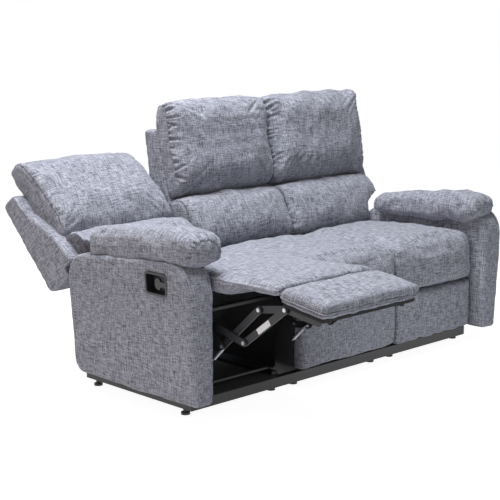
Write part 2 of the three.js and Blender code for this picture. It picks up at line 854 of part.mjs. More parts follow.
// Footrest: drawn closed, about its pivot on the front scissor link
function buildFootrest(seat, side, label, fold) {
  const closed = linkage(1).toe;
  const now = linkage(fold);
  const group = placed(seat, now.toe, now.panel);
  const local = (y, z) => difference(point(y, z), closed);
  const [xa, xb] = [side * (sideInner + sideClearance), side * (sideOuter - sideClearance)];
  const low = local(panelFront, panelBottom);
  const high = local(panelFront + footrestPadDepth, seamHeight);
  const padRing = ringOf(roundedRect(low.y, high.y, low.z, high.z, footrestEdge), 3);
  piece(group, `${label}_footrest_pad`, stuffed(padRing, xa, xb, { edge: footrestEdge }), fabric);
  const back = high.y + partGap + footrestBoardDepth;
  const boardInset = footrestBoardDepth;
  const board = block(
    xa + side * boardInset, xb - side * boardInset,
    high.y + partGap, back, low.z + boardInset, high.z - boardInset,
  );
  piece(group, `${label}_footrest_board`, board, timber);
  for (const place of ["outer", "inner"]) {
    const layers = layersOf(side, place);
    const [pa, pb] = [layers.at(layers.start(3)), layers.at(layers.end(3))];
    const reach = point(bracketReach.y, bracketReach.z);
    const foot = point(back + partGap + linkWidth / 2, low.z + linkWidth * 2);
    const arm = extrudeAcross(strip(reach, origin), pa, pb);
    const leg = extrudeAcross(strip(origin, foot), pa, pb);
    const flange = block(
      pa, layers.at(layers.end(3) + linkWidth), back + partGap, back + partGap + plateThickness,
      foot.z - linkWidth / 2, high.z - boardInset * 2,
    );
    const web = block(
      pa, pb, back + partGap, back + partGap + linkWidth / 2,
      foot.z - linkWidth / 2, high.z - boardInset * 2,
    );
    const hole = bar(pa - overrun, pb + overrun, reach, pinRadius);
    const pin = join(
      bar(
        layers.at(layers.start(3) + plateThickness / 2),
        layers.at(layers.start(2) - headGap - headThickness / 2), origin, pinRadius,
      ),
      bar(
        layers.at(layers.start(2) - headGap),
        layers.at(layers.start(2) - headGap - headThickness), origin, headRadius,
      ),
    );
    const bracket = join(cut(join(arm, leg, flange, web), hole), pin);
    piece(group, `${label}_${place}_footrest_bracket`, bracket, steel);
  }
}

// Front flap: the pad between seat and footrest. Laid out it reaches the seat's nose,
// closed it hangs from the nose to the footrest.
function buildFlap(seat, side, label, fold) {
  const [xa, xb] = [side * (sideInner + sideClearance), side * (sideOuter - sideClearance)];
  const noseBottom = seatTop - flapDepth;
  const name = `${label}_front_flap`;
  if (fold === 1) {
    const ring = ringOf(roundedRect(
      panelFront, panelFront + flapDepth, seamHeight + partGap, noseBottom - partGap, flapEdge,
    ), 3);
    piece(seat, name, stuffed(ring, xa, xb, { edge: flapEdge, spans: 1 }), fabric);
    return;
  }
  const top = flapCentre.z - (panelFront - flapCentre.y);
  const closed = linkage(1).toe;
  const now = linkage(fold);
  const seam = turned(difference(point(panelFront, seamHeight), closed), now.panel);
  const low = turned(difference(point(panelFront + flapDepth, seamHeight), closed), now.panel);
  const front = Math.max(now.toe.y + seam.y, now.toe.y + low.y) + partGap - flapTuck;
  const rear = panelFront - seatCrown - partGap;
  const ring = ringOf(roundedRect(front, rear, top - flapDepth, top, flapEdge), 3);
  piece(seat, name, stuffed(ring, xa, xb, { edge: flapEdge, spans: 1 }), fabric);
}

function seatPlate(side, place) {
  const layers = layersOf(side, place);
  const [xa, xb] = [layers.at(0), layers.at(plateThickness)];
  const deckBottom = seatTop - cushionThickness - deckThickness - partGap;
  const at = linkage(1);
  const margin = linkWidth * plateMarginShare;
  const web = extrudeAcross(beltShape([
    disc(point(liftPivot.y - margin / 2, deckBottom - margin), margin),
    disc(liftPivot, linkWidth), disc(studPlaces[0], margin), disc(studPlaces[1], margin),
    disc(point(seatRear - margin, deckBottom - margin), margin),
  ]), xa, xb);
  const lug = extrudeAcross(beltShape([
    disc(point(seatRear - margin * 2, deckBottom - margin * 2), margin), disc(backPivot, margin),
  ]), xa, xb);
  const flange = block(
    xa, layers.at(deckInset + linkWidth), liftPivot.y - margin, seatRear - margin,
    deckBottom - partGap - plateThickness, deckBottom - partGap,
  );
  const studs = studPlaces.map((stud) =>
    join(
      bar(
        layers.at(plateThickness / 2),
        layers.at(-rampGap - rampThickness - headGap - headThickness / 2), stud, studRadius, 12,
      ),
      bar(
        layers.at(-rampGap - rampThickness - headGap),
        layers.at(-rampGap - rampThickness - headGap - headThickness), stud, headRadius, 12,
      ),
    ),
  );
  const shaftStub = bar(layers.at(plateThickness / 2), layers.at(layers.end(1)), at.guidePivot, pinRadius);
  const pins = [pinOn(layers, 0, liftPivot), pinOn(layers, 0, backPivot)];
  return join(web, lug, flange, ...studs, ...pins, shaftStub);
}

function buildRecliner(side, label, reclined, fold) {
  const seat = new THREE.Group();
  seat.position.set(0, reclined * seatGlide.y, reclined * seatGlide.z);
  sofa.add(seat);
  const deckTop = seatTop - cushionThickness - partGap;
  const deckBottom = deckTop - deckThickness;
  const deck = block(
    side * (sideInner + plateInset + deckInset), side * (sideOuter - plateInset - deckInset),
    liftPivot.y - linkWidth, seatRear - linkWidth / 2, deckBottom, deckTop,
  );
  piece(seat, `${label}_seat_deck`, deck, timber);

  const shape = new THREE.Shape();
  const roll = flapDepth * noseShare;
  const noseBottom = seatTop - flapDepth;
  shape.moveTo(panelFront + flapDepth + partGap, seatTop - cushionThickness);
  shape.lineTo(seatRear - partGap, seatTop - cushionThickness);
  shape.lineTo(seatRear - partGap, seatTop - roll / 2);
  shape.quadraticCurveTo(seatRear - partGap, seatTop, seatRear - roll / 2, seatTop);
  shape.lineTo(panelFront + roll, seatTop);
  shape.quadraticCurveTo(panelFront, seatTop, panelFront, noseBottom);
  shape.lineTo(panelFront + flapDepth + partGap, noseBottom);
  const ring = ringOf(shape, 4);
  const floorTool = block(
    sideInner * side, sideOuter * side, 0, seatRear * 2, bodyBottom, seatTop - cushionThickness,
  );
  const flapTool = block(
    sideInner * side, sideOuter * side, 0, panelFront + flapDepth + partGap, bodyBottom, noseBottom,
  );
  const cushion = stuffed(ring, side * sideInner, side * sideOuter, {
    edge: seatEdge, crown: seatCrown,
  });
  piece(seat, `${label}_seat_cushion`, cut(cushion, floorTool, flapTool), fabric);

  for (const place of ["outer", "inner"]) {
    piece(seat, `${label}_${place}_seat_plate`, seatPlate(side, place), steel);
    buildLinks(seat, side, place, label, fold);
  }
  const at = linkage(fold);
  const [outer, inner] = ["outer", "inner"].map((place) => layersOf(side, place));
  const shaft = bar(
    outer.at(outer.end(1) + partGap), inner.at(inner.end(1) + partGap),
    at.guidePivot, headRadius,
  );
  piece(seat, `${label}_drive_shaft`, shaft, steel);
  buildFootrest(seat, side, label, fold);
  buildFlap(seat, side, label, fold);

  const back = placed(seat, backPivot, -reclineTurn * reclined);
  const upright = new THREE.Group();
  upright.position.set(0, -backPivot.y, -backPivot.z);
  back.add(upright);
  const shell = buildBack(upright, label, side * sideInner, side * sideOuter, true);
  const margin = linkWidth * strapMarginShare;
  const hinges = ["outer", "inner"].map((place) => {
    const layers = layersOf(side, place);
    const [xa, xb] = [layers.at(layers.start(1)), layers.at(layers.end(1))];
    const end = point(shellFront + margin, backPivot.z);
    const strap = extrudeAcross(beltShape([disc(backPivot, margin), disc(end, margin)]), xa, xb);
    return cut(strap, bar(xa - overrun, xb + overrun, backPivot, pinRadius + pinClearance));
  });
  piece(upright, `${label}_back_shell`, join(shell, ...hinges), fabricDark);
}

buildMiddleBase();
for (const [side, label] of [[-1, "left"], [1, "right"]]) {
  buildSideRail(side, "outer", `${label}_outer_rail`);
  buildSideRail(side, "inner", `${label}_inner_rail`);
  buildArm(side, label);
}
buildMiddleSeat();
buildRecliner(-1, "left", 1, 0);
buildRecliner(1, "right", 0, 1);

// The origin is on the floor, below the centre of the sofa as it stands.
sofa.updateMatrixWorld(true);
const centre = new THREE.Box3().setFromObject(sofa, true).getCenter(new THREE.Vector3());
sofa.position.set(-centre.x, -centre.y, 0);
const group = new THREE.Group();
group.add(sofa);

export default group;
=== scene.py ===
"""Three-place reclining sofa in woven cloth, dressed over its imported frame."""
import logging
import math
from dataclasses import dataclass, field
from enum import Enum
from typing import Callable, Optional, Sequence

import bmesh
import bpy
import numpy as np
from mathutils import Matrix, Vector
from mathutils.bvhtree import BVHTree
from mathutils.kdtree import KDTree


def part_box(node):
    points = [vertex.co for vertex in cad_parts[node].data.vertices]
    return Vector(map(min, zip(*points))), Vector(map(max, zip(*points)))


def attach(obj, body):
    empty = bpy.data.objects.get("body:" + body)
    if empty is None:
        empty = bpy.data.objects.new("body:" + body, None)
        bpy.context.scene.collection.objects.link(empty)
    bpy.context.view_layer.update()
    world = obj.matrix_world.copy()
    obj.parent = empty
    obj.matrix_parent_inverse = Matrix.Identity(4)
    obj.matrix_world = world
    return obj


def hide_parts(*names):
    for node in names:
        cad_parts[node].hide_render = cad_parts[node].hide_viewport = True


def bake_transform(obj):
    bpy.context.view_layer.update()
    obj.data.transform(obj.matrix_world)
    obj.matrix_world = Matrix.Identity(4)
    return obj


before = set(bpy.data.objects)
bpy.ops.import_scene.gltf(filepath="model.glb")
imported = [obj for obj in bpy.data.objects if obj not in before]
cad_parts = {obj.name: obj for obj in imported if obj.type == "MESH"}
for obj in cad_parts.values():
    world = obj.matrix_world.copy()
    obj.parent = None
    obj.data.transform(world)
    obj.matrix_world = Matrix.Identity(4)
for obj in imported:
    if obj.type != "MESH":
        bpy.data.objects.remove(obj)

logging.basicConfig(level=logging.INFO, format="%(message)s")
log = logging.getLogger("sofa")

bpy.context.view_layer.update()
ARM_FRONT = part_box("left_arm")[0].y
Field = Callable[[np.ndarray, np.ndarray], np.ndarray]
Mask = Callable[[np.ndarray], np.ndarray]

# How soft pieces are worked: steps of the cloth simulation, and distances in millimetres
SETTLING_STEPS = 20
HELD_REACH = 5
STILL_CAP = 2.0
SEAM_STEP = 3.0
LEAN_SLOPE = 0.2867
SOFT_VOXEL = 7.5
THIN_EDGE = 9


class Side(Enum):
    """A recliner's place, whose value is the sign of X there."""

    LEFT = -1
    RIGHT = 1

    @property
    def label(self) -> str:
        """The word that the recliner's nodes and bodies start with."""
        return self.name.lower()


# Finishes


def linear(hexcode: str) -> tuple[float, float, float, float]:
    """Turns an sRGB hex colour into a linear one.

    Args:
        hexcode: six hex digits after a hash.

    Returns:
        Red, green, blue and alpha.
    """
    parts = [int(hexcode[i : i + 2], 16) / 255 for i in (1, 3, 5)]
    bent = [c / 12.92 if c <= 0.04045 else ((c + 0.055) / 1.055) ** 2.4 for c in parts]
    return (*bent, 1.0)


def add_node(
    tree: bpy.types.NodeTree, kind: str, inputs: Optional[dict] = None, **settings: object
) -> bpy.types.Node:
    """Adds a node with its settings, values and links.

    Args:
        tree: the node tree it goes in.
        kind: the node's type.
        inputs: a socket's name or number to a value or to the socket that feeds it.
        settings: properties of the node.

    Returns:
        The node.
    """
    made = tree.nodes.new(kind)
    for key, value in settings.items():
        setattr(made, key, value)
    for key, value in (inputs or {}).items():
        if isinstance(value, bpy.types.NodeSocket):
            tree.links.new(value, made.inputs[key])
        else:
            made.inputs[key].default_value = value
    return made


def new_material(name: str) -> tuple[bpy.types.Material, bpy.types.NodeTree, bpy.types.Node]:
    """Makes a material with an empty tree and its output.

    Args:
        name: the material's name.

    Returns:
        The material, its tree and the output node.
    """
    material = bpy.data.materials.new(name)
    material.use_nodes = True
    tree = material.node_tree
    tree.nodes.clear()
    return material, tree, add_node(tree, "ShaderNodeOutputMaterial")


@dataclass(frozen=True)
class WovenCloth:
    """Linen-look polyester, woven from melange yarn: matt, with pale and dark threads both ways."""

    name: str
    pale: str = "#BBBDC6"
    dark: str = "#4C4D56"
    thread_mm: float = 2.6  # the real yarn is 0.7 mm, drawn coarser so that it shows
    slub_mm: float = 30.0
    grain_share: float = 1.1
    contrast: float = 0.48  # half the spread of noise that runs from dark to pale

    def threads(self, tree: bpy.types.NodeTree) -> bpy.types.NodeSocket:
        """Adds lines that run both ways over each face, however it is turned.

        Args:
            tree: the material's tree.

        Returns:
            The lines' tone, whose mean is one.
        """
        drawn = add_node(tree, "ShaderNodeAttribute", attribute_name="drawn").outputs["Vector"]
        facing = add_node(tree, "ShaderNodeAttribute", attribute_name="facing").outputs["Vector"]
        square = add_node(tree, "ShaderNodeVectorMath", {0: facing, 1: facing}, operation="MULTIPLY")
        parts = add_node(tree, "ShaderNodeSeparateXYZ", {0: square.outputs[0]})
        total = 0.0
        for axis in range(3):
            scale = [1000 / self.slub_mm] * 3
            scale[axis] = 1000 / self.thread_mm
            given = {0: drawn, 1: tuple(scale)}
            spread = add_node(tree, "ShaderNodeVectorMath", given, operation="MULTIPLY")
            given = {"Vector": spread.outputs[0], "Scale": 1.0, "Detail": 0.0}
            line = add_node(tree, "ShaderNodeTexNoise", given)
            given = {0: 1.0, 1: parts.outputs[axis]}
            across = add_node(tree, "ShaderNodeMath", given, operation="SUBTRACT")
            given = {0: line.outputs[0], 1: across.outputs[0], 2: total}
            total = add_node(tree, "ShaderNodeMath", given, operation="MULTIPLY_ADD").outputs[0]
        return total

    def build(self) -> bpy.types.Material:
        """Builds the cloth's material.

        Returns:
            The material.
        """
        material, tree, output = new_material(self.name)
        where = add_node(tree, "ShaderNodeTexCoord").outputs["Object"]
        speckle = {"Vector": where, "Scale": 1000 / self.thread_mm, "Detail": 0.0}
        grain = add_node(tree, "ShaderNodeTexNoise", speckle).outputs[0]
        given = {0: grain, 1: self.grain_share, 2: self.threads(tree)}
        yarn = add_node(tree, "ShaderNodeMath", given, operation="MULTIPLY_ADD").outputs[0]
        middle = 1.0 + 0.5 * self.grain_share
        low, high = middle - self.contrast, middle + self.contrast
        reach = {"Value": yarn, "From Min": low, "From Max": high}
        tone = add_node(tree, "ShaderNodeMapRange", reach).outputs[0]
        tones = {0: tone, 6: linear(self.dark), 7: linear(self.pale)}
        colour = add_node(tree, "ShaderNodeMix", tones, data_type="RGBA")
        relief = {"Height": yarn, "Strength": 0.3, "Distance": 0.0009}
        look = {
            "Base Color": colour.outputs[2],
            "Roughness": 0.92,
            "Specular IOR Level": 0.2,
            "Sheen Weight": 0.15,
            "Sheen Roughness": 0.5,
            "Normal": add_node(tree, "ShaderNodeBump", relief).outputs[0],
        }
        shader = add_node(tree, "ShaderNodeBsdfPrincipled", look)
        tree.links.new(shader.outputs[0], output.inputs[0])
        return material


@dataclass(frozen=True)
class SkinnedSurface:
    """A hard or felted skin: two close tones in soft clouds, and a fine grain in relief."""

    name: str
    colour: str
    worn: str
    roughness: float = 0.45
    metallic: float = 0.0
    grain_mm: float = 1.2
    relief: float = 0.2

    def build(self) -> bpy.types.Material:
        """Builds the skin's material.

        Returns:
            The material.
        """
        material, tree, output = new_material(self.name)
        where = add_node(tree, "ShaderNodeTexCoord").outputs["Object"]
        clouds = {"Vector": where, "Scale": 28.0, "Detail": 4.0}
        cloud = add_node(tree, "ShaderNodeTexNoise", clouds).outputs[0]
        tones = {0: cloud, 6: linear(self.colour), 7: linear(self.worn)}
        colour = add_node(tree, "ShaderNodeMix", tones, data_type="RGBA")
        grit = {"Vector": where, "Scale": 1000 / self.grain_mm}
        grain = add_node(tree, "ShaderNodeTexNoise", grit).outputs[0]
        relief = {"Height": grain, "Strength": self.relief, "Distance": 0.0003}
        look = {
            "Base Color": colour.outputs[2],
            "Metallic": self.metallic,
            "Roughness": self.roughness,
            "Normal": add_node(tree, "ShaderNodeBump", relief).outputs[0],
        }
        shader = add_node(tree, "ShaderNodeBsdfPrincipled", look)
        tree.links.new(shader.outputs[0], output.inputs[0])
        return material


# Melange yarn in a plain weave: matt, flecked pale and dark, with slubs that run both ways
CLOTH = WovenCloth("woven_melange_polyester").build()
# Spun thread: a shade paler than the cloth, so a seam shows as a fine broken line
THREAD = SkinnedSurface("polyester_sewing_thread", "#A4A7B4", "#8D909D", 0.8, 0.0, 3.0).build()
# Powder coating: satin black with a fine orange peel
BLACK_STEEL = SkinnedSurface("black_powder_coated_steel", "#151617", "#26272A", 0.4).build()
# Zinc plating: bright, with faint grey clouds
ZINC = SkinnedSurface("bright_zinc_plated_steel", "#D2D4D6", "#A4A7AB", 0.28, 1.0, 2.0).build()
# Moulded ABS: satin black with a spark-eroded grain
MOULDED = SkinnedSurface("black_moulded_abs", "#1B1C1E", "#232427", 0.36, 0.0, 1.0).build()
# Spunbond polypropylene: dull black with a felted face; laid as sheets under and behind the seats, it
# is also painted shade for the bays
LINING_AND_PAINTED_SHADE = SkinnedSurface("black_lining_and_painted_shade", "#17181A", "#202124", 0.9, 0.0, 3.0, 0.6).build()
# Pale plate: a painted highlight, standing for light that falls on the flat scissor link
PAINTED_HIGHLIGHT_PLATE = SkinnedSurface("pale_plate_painted_highlight", "#EDEDEA", "#E2E2DE", 0.4, 0.0, 2.0, 0.1).build()


# Outlines and closed skins


def fillet(corners: Sequence[tuple[float, float, float]], steps: int = 6) -> np.ndarray:
    """Rounds the corners of a closed outline.

    Args:
        corners: two coordinates and a corner radius in millimetres, in order.
        steps: pieces in each rounded corner.

    Returns:
        The outline's points, in millimetres.
    """
    spots = np.array([c[:2] for c in corners], float)
    ring = []
    for i, (_, _, radius) in enumerate(corners):
        here, before, after = spots[i], spots[i - 1], spots[(i + 1) % len(spots)]
        start = here + (before - here) / np.linalg.norm(before - here) * radius
        end = here + (after - here) / np.linalg.norm(after - here) * radius
        for t in np.linspace(0, 1, steps + 1):
            ring.append((1 - t) ** 2 * start + 2 * t * (1 - t) * here + t * t * end)
    return np.array(ring)


def even(path: np.ndarray, spacing: float, closed: bool = True) -> np.ndarray:
    """Spreads a path's points evenly.

    Args:
        path: the points, in two or three coordinates.
        spacing: the wanted distance between points.
        closed: whether the path comes back to its start.

    Returns:
        The new points.
    """
    line = np.vstack([path, path[:1]]) if closed else np.asarray(path, float)
    reach = np.r_[0, np.cumsum(np.linalg.norm(np.diff(line, axis=0), axis=1))]
    count = max(12 if closed else 2, int(reach[-1] / spacing))
    at = np.linspace(0, reach[-1], count, endpoint=not closed)
    return np.stack([np.interp(at, reach, line[:, i]) for i in range(line.shape[1])], 1)


def drawn_in(ring: np.ndarray, inset: float | np.ndarray) -> np.ndarray:
    """Shrinks an outline by a distance at each of its four extremes.

    Args:
        ring: the outline's points in millimetres.
        inset: the distance, or one for each coordinate.

    Returns:
        The smaller outline.
    """
    low, high = ring.min(0), ring.max(0)
    middle, half = (low + high) / 2, (high - low) / 2
    return middle + (ring - middle) * (1 - inset / half)


def puff_ring(
    centre: tuple[float, float],
    lean: float,
    height: float,
    front: float,
    rear: float,
    power: float = 3.0,
    taper: float = 0.0,
    steps: int = 72,
) -> np.ndarray:
    """Draws the side view of a stuffed back cushion.

    Args:
        centre: Y and Z of its middle, in millimetres.
        lean: degrees that it leans back.
        height: its height along the lean.
        front: depth ahead of the middle.
        rear: depth behind the middle.
        power: how square it is.
        taper: share of the front depth lost at the top.
        steps: points in the outline.

    Returns:
        The outline's points, in millimetres.
    """
    angle = 2 * np.pi * (np.arange(steps) + 0.5) / steps
    bend = lambda v: np.sign(v) * np.abs(v) ** (2 / power)
    up, side = bend(np.sin(angle)), bend(np.cos(angle))
    depth = np.where(side < 0, front * (1 - taper * up), rear) * side
    c, s = math.cos(math.radians(lean)), math.sin(math.radians(lean))
    high = up * height / 2
    return np.stack([centre[0] + depth * c + high * s, centre[1] - depth * s + high * c], 1)


def new_object(
    name: str, points: np.ndarray, faces: Sequence[Sequence[int]], edges: Sequence = ()
) -> bpy.types.Object:
    """Makes a mesh object from points in metres.

    Args:
        name: the object's name.
        points: its points in metres.
        faces: its faces.
        edges: its loose edges.

    Returns:
        The object.
    """
    mesh = bpy.data.meshes.new(name)
    mesh.from_pydata([tuple(p) for p in points], [tuple(e) for e in edges], list(faces))
    mesh.update()
    made = bpy.data.objects.new(name, mesh)
    bpy.context.scene.collection.objects.link(made)
    return made


def skin(name: str, rows: Sequence[np.ndarray]) -> bpy.types.Object:
    """Joins closed rings of points into one closed skin.

    Args:
        name: the object's name.
        rows: the rings in order, in millimetres, with as many points each.

    Returns:
        The object, with its faces outwards.
    """
    n = len(rows[0])
    faces = [
        (s * n + i, s * n + (i + 1) % n, (s + 1) * n + (i + 1) % n, (s + 1) * n + i)
        for s in range(len(rows) - 1)
        for i in range(n)
    ]
    faces += [tuple(range(n))[::-1], tuple(range((len(rows) - 1) * n, len(rows) * n))]
    made = new_object(name, np.vstack(rows) / 1000, faces)
    work = bmesh.new()
    work.from_mesh(made.data)
    bmesh.ops.recalc_face_normals(work, faces=work.faces)
    work.to_mesh(made.data)
    work.free()
    return made


def same(points: np.ndarray) -> np.ndarray:
    """Leaves points where they are."""
    return points


@dataclass
class BoxedForm:
    """A stuffed form: two side panels, and one cover that wraps round between them."""

    around: np.ndarray
    side: np.ndarray
    x0: float
    x1: float
    edge: float
    crown: float = 6.0
    bend: Callable[[np.ndarray], np.ndarray] = same
    far_side: Optional[np.ndarray] = None
    far_edge: Optional[float] = None

    def end(self, low: bool) -> tuple[np.ndarray, float]:
        """Gives the outline of a side panel and the radius of the edge that leads to it.

        Args:
            low: whether it is the panel at the low end of X.

        Returns:
            The outline and the radius.
        """
        if low or self.far_side is None:
            return self.side, self.edge
        return self.far_side, self.far_edge

    def span(self) -> float:
        """Gives the width between the rounded edges."""
        return self.x1 - self.x0 - self.edge - self.end(False)[1]

    def row(self, arc: float, low: bool = True) -> np.ndarray:
        """Gives the section at a distance over the cover from a side panel's seam.

        Args:
            arc: the distance in millimetres.
            low: whether it is measured from the panel at the low end of X.

        Returns:
            The section's points in millimetres.
        """
        side, edge = self.end(low)
        turn = min(arc / edge, math.pi / 2)
        into = edge * (1 - math.cos(turn)) + max(0.0, arc - edge * math.pi / 2)
        ring = side + (self.around - side) * math.sin(turn)
        t = (into - edge) / self.span()
        if t > 0:
            ring = drawn_in(ring, -self.crown * 4 * t * (1 - t))
        x = self.x0 + into if low else self.x1 - into
        return self.bend(np.c_[np.full(len(ring), x), ring])

    def build(self, name: str, spans: int = 10) -> bpy.types.Object:
        """Makes the form's closed skin.

        Args:
            name: the object's name.
            spans: sections between the rounded edges.

        Returns:
            The object.
        """
        quarter, far = self.edge * math.pi / 2, self.end(False)[1] * math.pi / 2
        arcs = [*np.linspace(0, quarter, 7)]
        arcs += [*(quarter + np.linspace(0, self.span(), spans + 1)[1:-1])]
        rows = [self.row(a) for a in arcs]
        rows += [self.row(a, False) for a in np.linspace(far, 0, 7)]
        return skin(name, rows)


def settle(piece: bpy.types.Object) -> bpy.types.Object:
    """Turns an object's modifiers into its plain mesh.

    Args:
        piece: the object.

    Returns:
        The same object.
    """
    graph = bpy.context.evaluated_depsgraph_get()
    old = piece.data
    done = bpy.data.meshes.new_from_object(piece.evaluated_get(graph))
    piece.modifiers.clear()
    piece.data = done
    bpy.data.meshes.remove(old)
    return piece


def remesh(piece: bpy.types.Object, voxel_mm: float, smooth: int = 4) -> bpy.types.Object:
    """Covers a solid with an even skin and evens out its steps.

    Args:
        piece: the solid, which may be several that overlap.
        voxel_mm: size of the skin's faces.
        smooth: rounds of smoothing.

    Returns:
        The same object.
    """
    cover = piece.modifiers.new("cover", "REMESH")
    cover.mode = "VOXEL"
    cover.voxel_size = voxel_mm / 1000
    rub = piece.modifiers.new("rub", "SMOOTH")
    rub.factor, rub.iterations = 0.5, smooth
    return settle(piece)


def distances(points: np.ndarray, path: np.ndarray) -> tuple[np.ndarray, np.ndarray]:
    """Finds how far points lie from a path, and where along it.

    Args:
        points: the points in millimetres.
        path: the path's points in millimetres.

    Returns:
        Each point's distance, and the path's index that is nearest to it.
    """
    tree = KDTree(len(path))
    for i, spot in enumerate(path):
        tree.insert(spot, i)
    tree.balance()
    found = [tree.find(p)[1:] for p in points]
    return np.array([f[1] for f in found]), np.array([f[0] for f in found])


def corners_of(mesh: bpy.types.Mesh) -> np.ndarray:
    """Reads a mesh's points.

    Args:
        mesh: the mesh.

    Returns:
        Its points in millimetres.
    """
    flat = np.empty(len(mesh.vertices) * 3)
    mesh.vertices.foreach_get("co", flat)
    return flat.reshape(-1, 3) * 1000


def surface_of(mesh: bpy.types.Mesh) -> BVHTree:
    """Makes a mesh ready for finding the nearest points on it."""
    points, faces = [v.co for v in mesh.vertices], [tuple(p.vertices) for p in mesh.polygons]
    return BVHTree.FromPolygons(points, faces)


def inflate(
    piece: bpy.types.Object,
    cap_mm: float,
    held: Sequence[np.ndarray] = (),
    still: Optional[Mask] = None,
    pressure: float = 4.0,
) -> bpy.types.Object:
    """Blows a cover up over its filling, held down along its seams.

    Args:
        piece: the cover.
        cap_mm: how far a point may move.
        held: seams that stay where they are.
        still: takes points and tells which of them hardly move, such as side panels.
        pressure: pressure inside.

    Returns:
        The same object.
    """
    scene = bpy.context.scene
    rest = corners_of(piece.data)
    cover = piece.modifiers.new("cover", "CLOTH")
    if held:
        group = piece.vertex_groups.new(name="held")
        gap, _ = distances(rest, np.vstack([even(h, 4) for h in held]))
        group.add([int(i) for i in np.nonzero(gap < HELD_REACH)[0]], 1.0, "REPLACE")
        cover.settings.vertex_group_mass = "held"
    cover.settings.use_pressure = True
    cover.settings.uniform_pressure_force = pressure
    cover.settings.effector_weights.gravity = 0
    cover.settings.quality = 4
    cover.point_cache.frame_start, cover.point_cache.frame_end = 1, SETTLING_STEPS
    for step in range(1, SETTLING_STEPS + 1):
        scene.frame_set(step)
    settle(piece)
    scene.frame_set(1)
    piece.vertex_groups.clear()
    moved = corners_of(piece.data) - rest
    far = np.linalg.norm(moved, axis=1)
    cap = np.full(len(rest), cap_mm)
    if still is not None:
        cap[still(rest)] = STILL_CAP
    now = rest + moved * np.minimum(1, cap / np.maximum(far, 1e-6))[:, None]
    piece.data.vertices.foreach_set("co", (now / 1000).ravel())
    piece.data.update()
    return piece


def emboss(piece: bpy.types.Object, *fields: Field) -> bpy.types.Object:
    """Moves each point along its normal by the sum of some fields.

    Args:
        piece: the object.
        fields: each takes points in millimetres and normals, and gives millimetres.

    Returns:
        The same object.
    """
    mesh = piece.data
    points = corners_of(mesh)
    normals = np.empty(len(points) * 3)
    mesh.vertices.foreach_get("normal", normals)
    normals = normals.reshape(-1, 3)
    rise = sum(f(points, normals) for f in fields)
    mesh.vertices.foreach_set("co", ((points + normals * rise[:, None]) / 1000).ravel())
    mesh.update()
    return piece


def finish_soft(piece: bpy.types.Object, levels: int = 1) -> bpy.types.Object:
    """Subdivides a soft piece and shades it smooth.

    Args:
        piece: the object.
        levels: how many times it is subdivided.

    Returns:
        The same object.
    """
    if levels:
        fine = piece.modifiers.new("fine", "SUBSURF")
        fine.levels = fine.render_levels = levels
        settle(piece)
    piece.data.polygons.foreach_set("use_smooth", [True] * len(piece.data.polygons))
    return piece


def ripple(size_mm: float, height_mm: float, seed: int, waves: int = 7) -> Field:
    """Gives a soft unevenness made of seeded waves.

    Args:
        size_mm: typical size of a bump.
        height_mm: typical height of a bump.
        seed: fixes the waves.
        waves: how many there are.

    Returns:
        The field.
    """
    chance = np.random.default_rng(seed)
    ways = chance.normal(size=(waves, 3))
    ways *= (2 * np.pi / size_mm / np.linalg.norm(ways, axis=1))[:, None]
    ways *= chance.uniform(0.6, 1.5, (waves, 1))
    starts = chance.uniform(0, 2 * np.pi, waves)
    share = height_mm * math.sqrt(2 / waves)
    return lambda p, n: share * np.sin(p @ ways.T + starts).sum(1)


@dataclass(frozen=True)
class Crease:
    """One fold that runs from a seam into the cover."""

    at: float
    length: float
    width: float
    depth: float
    slant: float


def creases(
    seed: int, start: float, end: float, spacing: float, length: float, depth: float
) -> list[Crease]:
    """Scatters creases along a stretch of a seam.

    Args:
        seed: fixes them.
        start: where the stretch starts along the seam, in millimetres.
        end: where it ends.
        spacing: typical distance between two.
        length: length of the longest.
        depth: depth of the deepest.

    Returns:
        The creases.
    """
    chance = np.random.default_rng(seed)
    made, at = [], start
    while at < end:
        size = chance.uniform(0.35, 1.0)
        made.append(
            Crease(
                at,
                length * size,
                chance.uniform(3.8, 6.0),
                depth * (0.45 + 0.55 * size) * chance.uniform(0.8, 1.1),
                chance.uniform(-0.45, 0.45),
            )
        )
        at += spacing * chance.uniform(0.6, 1.5)
    return made


def sewn(
    seam: np.ndarray,
    depth: float,
    width: float,
    folds: Sequence[Crease] = (),
    gathered: Optional[Mask] = None,
) -> Field:
    """Gives a seam's groove and the creases that are gathered into it.

    Args:
        seam: the seam's points, in millimetres.
        depth: depth of the groove.
        width: half width of the groove.
        folds: the creases.
        gathered: takes points and tells which lie on the gathered side.

    Returns:
        The field.
    """
    line = even(seam, SEAM_STEP, closed=False)

    def rise(p: np.ndarray, n: np.ndarray) -> np.ndarray:
        """Gives the rise of the groove and the creases together.

        Args:
            p: points in millimetres.
            n: their normals, which it has no use for.

        Returns:
            The rise at each, which is below zero in a groove.
        """
        gap, index = distances(p, line)
        total = -depth * np.exp(-((gap / width) ** 2))
        lift = np.zeros(len(p))
        for fold in folds:
            off = np.abs(index * SEAM_STEP - fold.at - fold.slant * gap)
            fade = np.clip(1 - gap / fold.length, 0, 1)
            valley = np.exp(-((off / fold.width) ** 2))
            ridge = np.exp(-(((off - 2.1 * fold.width) / (1.2 * fold.width)) ** 2))
            lift += fold.depth * fade * (0.55 * ridge - valley)
        if gathered is not None:
            lift *= gathered(p)
        return total + lift

    return rise


def stretch(seam: np.ndarray, mask: Mask) -> tuple[float, float]:
    """Finds where along a seam some of its points start and end.

    Args:
        seam: the seam's points.
        mask: takes points and tells which count.

    Returns:
        The first and last distance along the seam, in millimetres.
    """
    hits = np.nonzero(mask(even(seam, SEAM_STEP, closed=False)))[0]
    return hits.min() * SEAM_STEP, hits.max() * SEAM_STEP


# Places


